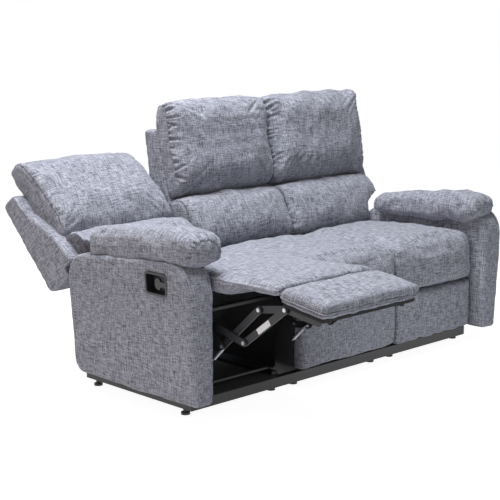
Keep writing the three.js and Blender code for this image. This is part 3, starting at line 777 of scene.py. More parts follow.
@dataclass(frozen=True)
class Sizes:
    """Sizes in millimetres that the pieces share, as in the part's source."""

    middle_half: float = 282
    side_inner: float = 286
    side_outer: float = 786
    arm_inner: float = 790
    arm_outer: float = 880
    arm_lean: float = 35
    shell_wing: float = 910
    cushion_wing: float = 866
    body_bottom: float = 77
    panel_front: float = 60
    panel_bottom: float = 75
    seam: float = 286
    seat_top: float = 492
    seat_bottom: float = 431.5
    seat_rear: float = 610
    arm_depth: float = 690
    arm_top: float = 575
    lean: float = 16
    shell_bottom: float = 400
    shell_top: float = 944
    shell_front: float = 760
    handle_y: float = 170
    handle_z: float = 498
    handle_width: float = 112
    handle_height: float = 78

    def shell_y(self, z: float) -> float:
        """Y of the back shell's front face at a height."""
        return self.shell_front + (z - self.shell_bottom) * math.tan(math.radians(self.lean))


SIZES = Sizes()
PIVOT = Vector((0, 0.640, 0.425))
GLIDE = Vector((0, -0.125, 0.040))
TOE_CLOSED = Vector((0, 0.13948, 0.27301))
TOE_OPEN = Vector((0, -0.18605, 0.42046))
RECLINE = -36
FOOTREST_TURN = -82


def shift() -> Matrix:
    """From the arms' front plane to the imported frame."""
    return Matrix.Translation((0, ARM_FRONT, 0))


def mirrored(side: Side) -> Matrix:
    """Places a right-hand piece that rides on the base at either side."""
    return shift() @ Matrix.Diagonal((side.value, 1, 1, 1))


def seat_pose(side: Side) -> Matrix:
    """Places a closed seat's piece where the recliner's seat stands at rest."""
    slide = Matrix.Translation(GLIDE) if side is Side.LEFT else Matrix.Identity(4)
    return slide @ mirrored(side)


def turned_about(start: Vector, end: Vector, degrees: float) -> Matrix:
    """Carries a point to another place and turns what is fixed to it about X."""
    turn = Matrix.Rotation(math.radians(degrees), 4, "X")
    return Matrix.Translation(end) @ turn @ Matrix.Translation(-start)


def back_pose(side: Side) -> Matrix:
    """Places an upright back's piece where the recliner's back stands at rest."""
    lie = turned_about(PIVOT, PIVOT, RECLINE) if side is Side.LEFT else Matrix.Identity(4)
    return seat_pose(side) @ lie


def footrest_pose(side: Side) -> Matrix:
    """Places a closed footrest's piece where the recliner's footrest stands at rest.

    Args:
        side: which recliner.

    Returns:
        The place.
    """
    if side is Side.RIGHT:
        return seat_pose(side)
    return seat_pose(side) @ turned_about(TOE_CLOSED, TOE_OPEN, FOOTREST_TURN)


def note(mesh: bpy.types.Mesh, name: str, source: str) -> None:
    """Keeps a property of a mesh's points as an attribute, for the weave to follow.

    Args:
        mesh: the mesh.
        name: the attribute's name.
        source: the property, either co or normal.
    """
    flat = np.empty(len(mesh.vertices) * 3, dtype=np.float32)
    mesh.vertices.foreach_get(source, flat)
    kept = mesh.attributes.new(name, "FLOAT_VECTOR", "POINT")
    kept.data.foreach_set("vector", flat)


def place(piece: bpy.types.Object, pose: Matrix) -> bpy.types.Object:
    """Moves a piece's mesh to its place and keeps its faces outwards.

    Args:
        piece: the object, which stays at the origin.
        pose: its new place.

    Returns:
        The same object.
    """
    if "drawn" not in piece.data.attributes:
        note(piece.data, "drawn", "co")
        note(piece.data, "facing", "normal")
    piece.data.transform(pose)
    if pose.determinant() < 0:
        piece.data.flip_normals()
    piece.data.update()
    return piece


def copy_of(piece: bpy.types.Object, name: str) -> bpy.types.Object:
    """Copies an object and its mesh.

    Args:
        piece: the object.
        name: the copy's name.

    Returns:
        The copy.
    """
    twin = bpy.data.objects.new(name, piece.data.copy())
    bpy.context.scene.collection.objects.link(twin)
    return twin


def dress(
    piece: bpy.types.Object,
    material: bpy.types.Material,
    nodes: Sequence[str] = (),
    body: Optional[str] = None,
) -> bpy.types.Object:
    """Gives a piece its finish, its body and the nodes that it stands for.

    Args:
        piece: the object.
        material: its finish.
        nodes: CAD nodes that it replaces.
        body: the body that it rides on; a piece given none is fixed to no body.

    Returns:
        The same object.
    """
    piece.data.materials.clear()
    piece.data.materials.append(material)
    if nodes:
        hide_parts(*nodes)
    if body:
        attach(piece, body)
    log.info("%s: %d faces", piece.name, len(piece.data.polygons))
    return piece


# Stitches, rivets and springs, made by geometry nodes


def new_tree(name: str, sizes: dict[str, float]) -> tuple[bpy.types.NodeTree, bpy.types.Node]:
    """Makes an empty geometry tree with a named input for each size and for its material.

    Args:
        name: the tree's name.
        sizes: each input's name and its value.

    Returns:
        The tree and its input node.
    """
    tree = bpy.data.node_groups.new(name, "GeometryNodeTree")
    face = tree.interface
    face.new_socket("Geometry", in_out="INPUT", socket_type="NodeSocketGeometry")
    for size, value in sizes.items():
        made = face.new_socket(size, in_out="INPUT", socket_type="NodeSocketFloat")
        made.default_value = value
    face.new_socket("Finish", in_out="INPUT", socket_type="NodeSocketMaterial")
    face.new_socket("Geometry", in_out="OUTPUT", socket_type="NodeSocketGeometry")
    return tree, add_node(tree, "NodeGroupInput")


def end_tree(tree: bpy.types.NodeTree, source: bpy.types.NodeSocket, finish: object) -> None:
    """Ends a tree in real geometry with its material.

    Args:
        tree: the tree.
        source: the geometry.
        finish: the material's socket.
    """
    real = add_node(tree, "GeometryNodeRealizeInstances", {0: source})
    given = {"Geometry": real.outputs[0], "Material": finish}
    dressed = add_node(tree, "GeometryNodeSetMaterial", given)
    add_node(tree, "NodeGroupOutput", {0: dressed.outputs[0]})


def run_tree(
    piece: bpy.types.Object, tree: bpy.types.NodeTree, finish: bpy.types.Material
) -> bpy.types.Object:
    """Runs a geometry tree on a piece and keeps what it makes as a plain mesh.

    Args:
        piece: the object.
        tree: the tree.
        finish: the material that it sets.

    Returns:
        The same object.
    """
    work = piece.modifiers.new("work", "NODES")
    work.node_group = tree
    for item in tree.interface.items_tree:
        if item.name == "Finish":
            work[item.identifier] = finish
    return settle(piece)


def stitch_tree() -> bpy.types.NodeTree:
    """Lays short rods of thread, with small gaps, along the edges of a mesh.

    Returns:
        The tree.
    """
    tree, given = new_tree("topstitch", {"Pitch": 0.0085, "Length": 0.0058, "Radius": 0.0009})
    size = given.outputs
    line = add_node(tree, "GeometryNodeMeshToCurve", {"Mesh": size["Geometry"]})
    walk = {"Curve": line.outputs[0], "Length": size["Pitch"]}
    spots = add_node(tree, "GeometryNodeCurveToPoints", walk, mode="LENGTH").outputs
    thread = {"Vertices": 5, "Radius": size["Radius"], "Depth": size["Length"]}
    rod = add_node(tree, "GeometryNodeMeshCylinder", thread).outputs["Mesh"]
    way = {"Vector": spots["Tangent"]}
    aim = add_node(tree, "FunctionNodeAlignRotationToVector", way, axis="Z").outputs[0]
    rods = {"Points": spots["Points"], "Instance": rod, "Rotation": aim}
    laid = add_node(tree, "GeometryNodeInstanceOnPoints", rods)
    end_tree(tree, laid.outputs[0], size["Finish"])
    return tree


def rivet_tree() -> bpy.types.NodeTree:
    """Sets a turned rivet head, whose axis runs across the sofa, at each point of a mesh.

    Returns:
        The tree.
    """
    tree, given = new_tree("rivets", {"Radius": 0.0072, "Height": 0.0022})
    size = given.outputs
    waist = add_node(tree, "ShaderNodeMath", {0: size["Radius"], 1: 0.62}, operation="MULTIPLY")
    deep = add_node(tree, "ShaderNodeMath", {0: size["Height"], 1: 1.7}, operation="MULTIPLY")
    head = add_node(tree, "GeometryNodeJoinGeometry")
    for radius, depth in ((size["Radius"], size["Height"]), (waist.outputs[0], deep.outputs[0])):
        disc = {"Vertices": 16, "Radius": radius, "Depth": depth}
        turned = add_node(tree, "GeometryNodeMeshCylinder", disc)
        tree.links.new(turned.outputs["Mesh"], head.inputs[0])
    across = (0, math.pi / 2, 0)
    heads = {"Points": size["Geometry"], "Instance": head.outputs[0], "Rotation": across}
    set_in = add_node(tree, "GeometryNodeInstanceOnPoints", heads)
    end_tree(tree, set_in.outputs[0], size["Finish"])
    return tree


def spring_tree() -> bpy.types.NodeTree:
    """Winds a close coil of round wire along Z.

    Returns:
        The tree.
    """
    tree, given = new_tree("coil_spring", {"Radius": 0.005, "Height": 0.07, "Wire": 0.0009})
    size = given.outputs
    turns = {"Resolution": 14, "Rotations": 24.0, "Height": size["Height"]}
    turns |= {"Start Radius": size["Radius"], "End Radius": size["Radius"]}
    coil = add_node(tree, "GeometryNodeCurveSpiral", turns).outputs[0]
    section = {"Resolution": 6, "Radius": size["Wire"]}
    wire = add_node(tree, "GeometryNodeCurvePrimitiveCircle", section).outputs[0]
    swept = {"Curve": coil, "Profile Curve": wire, "Fill Caps": True}
    wound = add_node(tree, "GeometryNodeCurveToMesh", swept)
    end_tree(tree, wound.outputs[0], size["Finish"])
    return tree


@dataclass
class Needlework:
    """Collects the topstitched lines of each body, then sews them."""

    spacing_mm: float = 7.0
    reach: float = 0.04
    lift: float = 0.0004
    lines: dict[str, list[np.ndarray]] = field(default_factory=dict)

    def follow(
        self,
        piece: bpy.types.Object,
        body: str,
        paths: Sequence[np.ndarray],
        pose: Matrix,
        closed: bool = True,
    ) -> None:
        """Lays lines on the surface of a finished piece.

        Args:
            piece: the piece, in its place.
            body: the body that it rides on.
            paths: lines in millimetres, in the place where the piece was drawn.
            pose: the piece's place.
            closed: whether each line comes back to its start.
        """
        surface = surface_of(piece.data)
        for path in paths:
            laid = []
            for spot in even(np.asarray(path, float), self.spacing_mm, closed):
                hit, normal, _, gap = surface.find_nearest(pose @ Vector(spot / 1000))
                if hit is not None and gap < self.reach:
                    laid.append(hit + normal * self.lift)
            if closed and laid:
                laid.append(laid[0])
            if len(laid) > 2:
                self.lines.setdefault(body, []).append(np.array(laid))

    def sew(self) -> None:
        """Turns each body's lines into one piece of stitches."""
        tree = stitch_tree()
        for body, lines in self.lines.items():
            edges, count = [], 0
            for line in lines:
                edges += [(count + i, count + i + 1) for i in range(len(line) - 1)]
                count += len(line)
            piece = new_object(f"{body}_stitches", np.vstack(lines), [], edges)
            dress(run_tree(piece, tree, THREAD), THREAD, (), body)


NEEDLE = Needlework()


# Backs


@dataclass(frozen=True)
class Gathers:
    """Where a seam is gathered and how its creases are spread, in millimetres."""

    ahead: float
    bottom: float
    top: float
    spacing: float
    length: float
    depth: float


@dataclass(frozen=True)
class Cut:
    """How a back cushion is cut, in millimetres.

    Each section is the height that it loses, its depth ahead of the middle and behind it, and how
    square it is.
    """

    foot: float
    top: float
    taper: float
    around: tuple[float, float, float, float]
    side: tuple[float, float, float, float]
    wide_side: tuple[float, float, float, float]
    edge: float
    wide_edge: float
    swell: float
    low_gathers: Gathers
    far_gathers: Gathers


class Cushion(Enum):
    """The two cushions of a back, with their cuts."""

    HEAD = Cut(
        664, 1059, 0.02, (0, 124, 8, 3.0), (30, 62, 6, 3.8), (10, 98, 7, 3.4), 56, 24, 12,
        Gathers(10, 745, 1046, 25, 80, 9.0), Gathers(10, 745, 1046, 31, 60, 4.2),
    )
    LUMBAR = Cut(
        424, 660, 0.12, (0, 140, 4, 3.6), (22, 96, 3, 4.2), (6, 132, 3, 3.8), 42, 11, 9,
        Gathers(30, 0, 560, 42, 62, 5.0), Gathers(30, 480, 2000, 60, 34, 2.6),
    )

    @property
    def label(self) -> str:
        """The word that stands in the names of its nodes and pieces."""
        return self.name.lower()


def slab_rows(
    corners: Sequence[tuple[float, float, float]], x0: float, x1: float
) -> list[np.ndarray]:
    """Draws the sections of a board-like block with thin rounded edges.

    Args:
        corners: Y, Z and corner radius in millimetres, in order round its side.
        x0: its low end along X.
        x1: its high end along X.

    Returns:
        The sections.
    """
    ring = even(fillet(corners), 11)
    form = BoxedForm(ring, drawn_in(ring, 5), x0, x1, THIN_EDGE, 0)
    arcs = np.linspace(0, 14, 5)
    return [form.row(a) for a in arcs] + [form.row(a, False) for a in arcs[::-1]]


@dataclass
class Back:
    """A back: a boxed shell, a lumbar cushion and a head cushion that overlaps it."""

    x0: float
    x1: float
    wide: bool
    shell_depth: float = 145
    shell_top_depth: float = 76
    wing_bottom: float = 516
    cheek_inner: float = 846
    cheek_bottom: float = 558
    flank_gap: float = 4
    taper_start: float = 640.0
    taper_bottom: float = 562
    taper_height: float = 26
    nod_from: float = 860
    nod_upright: float = 44
    nod_laid_back: float = 6
    covers: dict[Cushion, bpy.types.Object] = field(default_factory=dict)

    def taper(self, points: np.ndarray) -> np.ndarray:
        """Draws a wide lumbar cushion in towards its foot, where it passes the arm.

        Args:
            points: points in millimetres, with the back upright.

        Returns:
            The points after it.
        """
        if not self.wide:
            return points
        out, flank = points.copy(), SIZES.side_outer - self.flank_gap
        rise = np.clip((points[:, 2] - self.taper_bottom) / self.taper_height, 0, 1)
        limit = flank + (self.x1 - SIZES.side_outer + self.flank_gap) * rise**2 * (3 - 2 * rise)
        start = self.taper_start
        share = np.clip((points[:, 0] - start) / (self.x1 - start), 0, None)
        out[:, 0] = np.where(points[:, 0] > start, start + share * (limit - start), points[:, 0])
        return out

    def nod(self, points: np.ndarray, reach: float) -> np.ndarray:
        """Tips the top of a head cushion forwards.

        Args:
            points: points in millimetres, with the back upright.
            reach: how far a point 200 mm above the bend comes forward.

        Returns:
            The points after it.
        """
        out = points.copy()
        out[:, 1] -= reach * np.clip((points[:, 2] - self.nod_from) / 200, 0, None) ** 2
        return out

    def form(self, kind: Cushion) -> BoxedForm:
        """Draws a back cushion's form.

        Args:
            kind: which cushion.

        Returns:
            The form, upright and closed.
        """
        s, cut = SIZES, kind.value
        middle = (cut.foot + cut.top) / 2
        height = (cut.top - cut.foot) / math.cos(math.radians(s.lean))
        centre = (s.shell_y(middle), middle)
        draw = lambda less, front, rear, power: puff_ring(
            centre, s.lean, height - less, front, rear, power, cut.taper
        )
        form = BoxedForm(draw(*cut.around), draw(*cut.side), self.x0 + 3, self.x1 - 3, cut.edge)
        form.bend = self.taper if kind is Cushion.LUMBAR else same
        if self.wide:
            form.far_side, form.far_edge = draw(*cut.wide_side), cut.wide_edge
        return form

    def cover(self, kind: Cushion) -> bpy.types.Object:
        """Blows up a back cushion's cover, once for both recliners.

        Args:
            kind: which cushion.

        Returns:
            The cover, which is copied for each back.
        """
        if kind not in self.covers:
            form = self.form(kind)
            piece = remesh(form.build(f"{kind.label}_cover"), SOFT_VOXEL)
            held = [form.row(0), form.row(0, False)]
            flat = lambda p: (p[:, 0] < self.x0 + 5) | (p[:, 0] > self.bound(p) - 6)
            self.covers[kind] = finish_soft(inflate(piece, kind.value.swell, held, flat))
        return self.covers[kind]

    def bound(self, points: np.ndarray) -> np.ndarray:
        """Gives where the outer side panel of the lumbar cushion lies at each point."""
        edge = np.c_[np.full(len(points), self.x1 - 3.0), points[:, 1:]]
        return self.taper(edge)[:, 0]

    def gathered(self, kind: Cushion, form: BoxedForm, low: bool, seed: int) -> Field:
        """Draws a side seam of a cushion and the creases gathered into its front.

        Args:
            kind: which cushion.
            form: its form.
            low: whether the seam is at the low end of X.
            seed: fixes the creases.

        Returns:
            The field.
        """
        s, seam = SIZES, form.row(0, low)
        g = kind.value.low_gathers if low else kind.value.far_gathers
        ahead = lambda p: s.shell_front + (p[:, 2] - s.shell_bottom) * LEAN_SLOPE - p[:, 1]
        front = lambda p: (ahead(p) > g.ahead) & (p[:, 2] > g.bottom) & (p[:, 2] < g.top)
        folds = creases(seed, *stretch(seam, front), g.spacing, g.length, g.depth)
        inner = lambda p: (p[:, 0] > self.x0 + 4) & (p[:, 0] < self.bound(p) - 1)
        return sewn(seam, 4.2, 5.5, folds, inner)

    def cushion(
        self, kind: Cushion, label: str, pose: Matrix, body: str, seed: int, reach: float
    ) -> None:
        """Builds one back cushion with its seams, gathers and stitches.

        Args:
            kind: which cushion.
            label: left, middle or right.
            pose: where it stands.
            body: the body that it rides on.
            seed: varies its folds.
            reach: how far the top of a head cushion nods forwards.
        """
        form = self.form(kind)
        fields = [ripple(160, 2.2, seed), ripple(62, 0.8, seed + 1)]
        fields += [self.gathered(kind, form, low, seed + 2 + low) for low in (True, False)]
        piece = emboss(copy_of(self.cover(kind), f"{label}_{kind.label}_cover"), *fields)
        lines = []
        if kind is Cushion.HEAD:
            nodded = self.nod(corners_of(piece.data), reach) / 1000
            piece.data.vertices.foreach_set("co", nodded.ravel())
            lines = [self.nod(form.row(7, low), reach) for low in (True, False)]
        place(piece, pose)
        node = f"{label}_{kind.label}_cushion"
        dress(piece, CLOTH, [node], body)
        NEEDLE.follow(piece, body, lines, pose)

    def shell_rear(self, z: float) -> float:
        """Gives Y of the shell's rear face at a height."""
        share = (z - SIZES.shell_bottom) / (SIZES.shell_top - SIZES.shell_bottom)
        return SIZES.shell_y(z) + (self.shell_depth + (self.shell_top_depth - self.shell_depth) * share)

    def cheek_rows(self) -> list[np.ndarray]:
        """Draws the sections of the cheek that runs forward beside a wide lumbar cushion.

        Returns:
            The sections.
        """
        s, foot = SIZES, self.cheek_bottom
        corners = [
            (s.shell_y(foot) - 66, foot, 14),
            (s.shell_y(foot) + 30, foot, 8),
            (s.shell_y(850) + 30, 850, 8),
            (s.shell_y(850) + 2, 850, 8),
            (s.shell_y(700) - 54, 700, 90),
        ]
        return slab_rows(corners, self.cheek_inner, s.shell_wing - 3)

    def shell_rows(self, bottom: float, x1: float) -> list[np.ndarray]:
        """Draws the sections of one block of the shell.

        Args:
            bottom: the block's lower end.
            x1: the block's outer end.

        Returns:
            The sections.
        """
        s = SIZES
        corners = [
            (s.shell_y(bottom), bottom, 9),
            (self.shell_rear(bottom), bottom, 18),
            (self.shell_rear(s.shell_top), s.shell_top, 22),
            (s.shell_y(s.shell_top), s.shell_top, 9),
        ]
        return slab_rows(corners, self.x0, x1)

    def shell(self, label: str, pose: Matrix, body: str, seed: int) -> None:
        """Builds the padded shell with its edge seams.

        Args:
            label: left, middle or right.
            pose: where it stands.
            body: the body that it rides on.
            seed: varies its unevenness.
        """
        s = SIZES
        name = f"{label}_shell_cover"
        piece = skin(name, self.shell_rows(s.shell_bottom, min(self.x1, s.side_outer)))
        wing, low_end = (s.shell_wing, self.wing_bottom) if self.wide else (self.x1, s.shell_bottom)
        if self.wide:
            outer = skin("wing", self.shell_rows(low_end, wing))
            piece = join_pieces(name, [piece, outer, skin("cheek", self.cheek_rows())])
        remesh(piece, 7, 3)
        lines = []
        for x, bottom in ((self.x0, s.shell_bottom), (wing, low_end)):
            foot, top = bottom + 12, s.shell_top - 17
            spots = [
                (x, s.shell_y(foot) + 17, foot),
                (x, s.shell_y(top) + 17, top),
                (x, self.shell_rear(top) - 20, top),
                (x, self.shell_rear(foot) - 20, foot),
            ]
            lines.append(np.array(spots))
        fields = [ripple(130, 1.0, seed)] + [sewn(line[:2], 2.4, 4.5) for line in lines]
        place(finish_soft(emboss(piece, *fields), 0), pose)
        dress(piece, CLOTH, [f"{label}_back_shell"], body)
        NEEDLE.follow(piece, body, lines, pose, False)

    def build(self, label: str, pose: Matrix, body: str, seed: int) -> None:
        """Builds one back.

        Args:
            label: left, middle or right.
            pose: where it stands.
            body: the body that it rides on.
            seed: varies its folds.
        """
        reach = self.nod_laid_back if label == Side.LEFT.label else self.nod_upright
        self.cushion(Cushion.HEAD, label, pose, body, seed, reach)
        self.cushion(Cushion.LUMBAR, label, pose, body, seed + 6, reach)
        self.shell(label, pose, body, seed + 12)


# Seats


@dataclass
class Seat:
    """Seat cushions: a waterfall front when closed, one long pad with the footrest out."""

    x0: float
    x1: float

    def waterfall(self, label: str, seed: int) -> bpy.types.Object:
        """Makes a closed seat's cushion, which falls over its front down to the seam.

        Args:
            label: middle or right.
            seed: varies its folds.

        Returns:
            The cover, in place along X but not yet shifted.
        """
        s = SIZES
        corners = [
            (s.panel_front + 6, s.seam + 2, 18),
            (s.panel_front + 44, s.seam + 2, 12),
            (s.panel_front + 46, s.seat_bottom, 3),
            (s.seat_rear + 20, s.seat_bottom, 6),
            (s.seat_rear + 26, s.seat_bottom + 37, 12),
            (400, s.seat_top - 1, 120),
            (s.panel_front + 5, s.seat_top - 3, 58),
        ]
        ring = even(fillet(corners), 12)
        form = BoxedForm(ring, drawn_in(ring, 20), self.x0 + 2, self.x1 - 2, 26, 7)
        if self.x1 > s.middle_half:
            form.far_side, form.far_edge = drawn_in(ring, 8), 14
        piece = remesh(form.build(f"{label}_seat_cover"), SOFT_VOXEL)
        held = [form.row(0), form.row(0, False)]
        flat = lambda p: (p[:, 0] < self.x0 + 4) | (p[:, 0] > self.x1 - 4)
        finish_soft(inflate(piece, 10, held, flat))
        fields = [ripple(180, 2.0, seed), ripple(64, 0.8, seed + 1)]
        for low in (True, False):
            seam = form.row(0, low)
            start, end = stretch(seam, lambda p: (p[:, 1] < 110) & (p[:, 2] > 300))
            folds = creases(seed + 2 + low, start, end, 46, 30, 2.4)
            inner = lambda p: (p[:, 0] > self.x0 + 4) & (p[:, 0] < self.x1 - 4)
            fields.append(sewn(seam, 2.8, 5, folds, inner))
        return emboss(piece, *fields)

    def long_pad(self, label: str, seed: int) -> bpy.types.Object:
        """Makes an open seat's pad, which runs on without a break to the footrest.

        Args:
            label: the recliner's word.
            seed: varies its folds.

        Returns:
            The cover, in the closed seat's place.
        """
        s = SIZES
        corners = [
            (-177, 467, 12),
            (40, 467, 20),
            (104, s.seat_bottom, 20),
            (s.seat_rear + 20, s.seat_bottom, 6),
            (s.seat_rear + 26, s.seat_bottom + 22, 12),
            (400, s.seat_top - 1, 120),
            (70, s.seat_top - 2, 60),
            (-177, 498, 14),
        ]
        ring = even(fillet(corners), 12)
        form = BoxedForm(ring, drawn_in(ring, 12), self.x0 + 3, self.x1 - 3, 15, 8)
        piece = remesh(form.build(f"{label}_seat_cover"), SOFT_VOXEL)
        still = lambda p: (p[:, 0] < self.x0 + 5) | (p[:, 0] > self.x1 - 5)
        finish_soft(inflate(piece, 9, (), still))
        side = lambda p, n: np.abs(n[:, 0]) > 0.4
        welt = lambda z, d: lambda p, n: -d * np.exp(-(((p[:, 2] - z) / 2.8) ** 2)) * side(p, n)
        bead = lambda p, n: 2.2 * np.exp(-(((p[:, 2] - 484) / 3.2) ** 2)) * side(p, n)
        dip = lambda p, n: -2.6 * np.exp(-(((p[:, 1] - 52) / 16) ** 2)) * np.clip(n[:, 2], 0, 1)
        fields = [ripple(190, 1.6, seed), ripple(62, 0.8, seed + 1), welt(478, 3.0), welt(490, 2.2)]
        return emboss(piece, *fields, bead, dip)


def panel_rows(
    x0: float, x1: float, y0: float, y1: float, z0: float, z1: float, radius: float, edge: float
) -> list[np.ndarray]:
    """Draws a padded panel that stands across the sofa, as outlines from front to back.

    Args:
        x0: its low end along X.
        x1: its high end along X.
        y0: its front.
        y1: its back.
        z0: its foot.
        z1: its top.
        radius: radius of its four corners.
        edge: radius round its front.

    Returns:
        The outlines in millimetres.
    """
    loop = even(fillet([(x0, z0, radius), (x1, z0, radius), (x1, z1, radius), (x0, z1, radius)]), 9)
    rows = []
    for turn in np.linspace(0, math.pi / 2, 6):
        ring = drawn_in(loop, edge * (1 - math.sin(turn)))
        y = y0 + edge * (1 - math.cos(turn))
        rows.append(np.c_[ring[:, 0], np.full(len(ring), y), ring[:, 1]])
    for share in (0.5, 1.0):
        y = y0 + edge + (y1 - y0 - edge) * share
        rows.append(np.c_[loop[:, 0], np.full(len(loop), y), loop[:, 1]])
    return rows


def crowned(x0: float, x1: float, z0: float, z1: float, height: float) -> Field:
    """Swells the front of an upright panel between its edges.

    Args:
        x0: the panel's low end along X.
        x1: its high end along X.
        z0: its foot.
        z1: its top.
        height: the swelling at the middle.

    Returns:
        The field.
    """

    def rise(p: np.ndarray, n: np.ndarray) -> np.ndarray:
        """Gives the swelling.

        Args:
            p: points in millimetres.
            n: their normals.

        Returns:
            The swelling at each.
        """
        across = np.clip(1 - np.abs((p[:, 0] * 2 - x0 - x1) / (x1 - x0)) ** 3, 0, 1)
        up = np.clip(1 - np.abs((p[:, 2] * 2 - z0 - z1) / (z1 - z0)) ** 3, 0, 1)
        return height * across * up * np.clip(-n[:, 1], 0, 1)

    return rise


def tube(
    name: str, path: Sequence[Vector], radius: float, closed: bool = False, sides: int = 3
) -> bpy.types.Object:
    """Makes a round tube along a path.

    Args:
        name: the object's name.
        path: points in metres.
        radius: the tube's radius in metres.
        closed: whether it is a loop.
        sides: roundness of the bevel.

    Returns:
        The object, as a mesh at the origin.
    """
    curve = bpy.data.curves.new(name, "CURVE")
    curve.dimensions = "3D"
    curve.bevel_depth, curve.bevel_resolution, curve.use_fill_caps = radius, sides, not closed
    line = curve.splines.new("POLY")
    line.points.add(len(path) - 1)
    for spot, p in zip(line.points, path):
        spot.co = (*p, 1)
    line.use_cyclic_u = closed
    holder = bpy.data.objects.new(name + "_path", curve)
    bpy.context.scene.collection.objects.link(holder)
    graph = bpy.context.evaluated_depsgraph_get()
    mesh = bpy.data.meshes.new_from_object(holder.evaluated_get(graph))
    bpy.data.objects.remove(holder)
    mesh.name = name
    made = bpy.data.objects.new(name, mesh)
    bpy.context.scene.collection.objects.link(made)
    mesh.polygons.foreach_set("use_smooth", [True] * len(mesh.polygons))
    return made


@dataclass
class Footrest:
    """The footrest's crowned pad, its welt and the border under it."""

    x0: float = 290
    x1: float = 782
    crown: float = 12
    corner: float = 20

    def build(self, side: Side, seed: int) -> None:
        """Builds one footrest's soft pieces.

        Args:
            side: which recliner.
            seed: varies its folds.
        """
        s = SIZES
        body = f"{side.label}_footrest"
        node = f"{side.label}_footrest_pad"
        pose = footrest_pose(side)
        y, z0, z1 = s.panel_front, s.panel_bottom, s.seam - 1
        rows = panel_rows(self.x0, self.x1, y + 3, y + 31, z0 + 1, z1, self.corner, 17)
        pad = remesh(skin(f"{side.label}_footrest_cover", rows), 6)
        swell = crowned(self.x0, self.x1, z0, z1, self.crown)
        emboss(pad, swell, ripple(120, 1.4, seed), ripple(48, 0.6, seed + 1))
        place(finish_soft(pad), pose)
        dress(pad, CLOTH, [node], body)
        rows = panel_rows(self.x0 + 2, self.x1 - 2, y + 33, y + 50, z0 + 3, z1 - 2, self.corner, 4)
        border = remesh(skin(f"{side.label}_footrest_border", rows), 5.5, 2)
        emboss(border, ripple(70, 0.8, seed + 2))
        place(finish_soft(border, 0), pose)
        dress(border, CLOTH, [node], body)
        x0, x1, r = self.x0 + 1, self.x1 - 1, self.corner
        loop = fillet([(x0, z0 + 2, r), (x1, z0 + 2, r), (x1, z1 - 1, r), (x0, z1 - 1, r)])
        path = [Vector((x, y + 32, z)) / 1000 for x, z in loop]
        welt = place(tube(f"{side.label}_footrest_welt", path, 0.0026, closed=True), pose)
        dress(welt, CLOTH, (), body)
        lines = [np.c_[loop[:, 0], np.full(len(loop), y + 41.0), loop[:, 1]]]
        NEEDLE.follow(border, body, lines, pose)


# Arms


@dataclass(frozen=True)
class PadShape:
    """How far an arm pad has sunk or swelled: changes and places in millimetres."""

    rise: float
    drop: float
    tip: float
    tail: float


PAD_SHAPES = {Side.LEFT: PadShape(10, 0, 0, 596), Side.RIGHT: PadShape(-24, -20, 14, 612)}


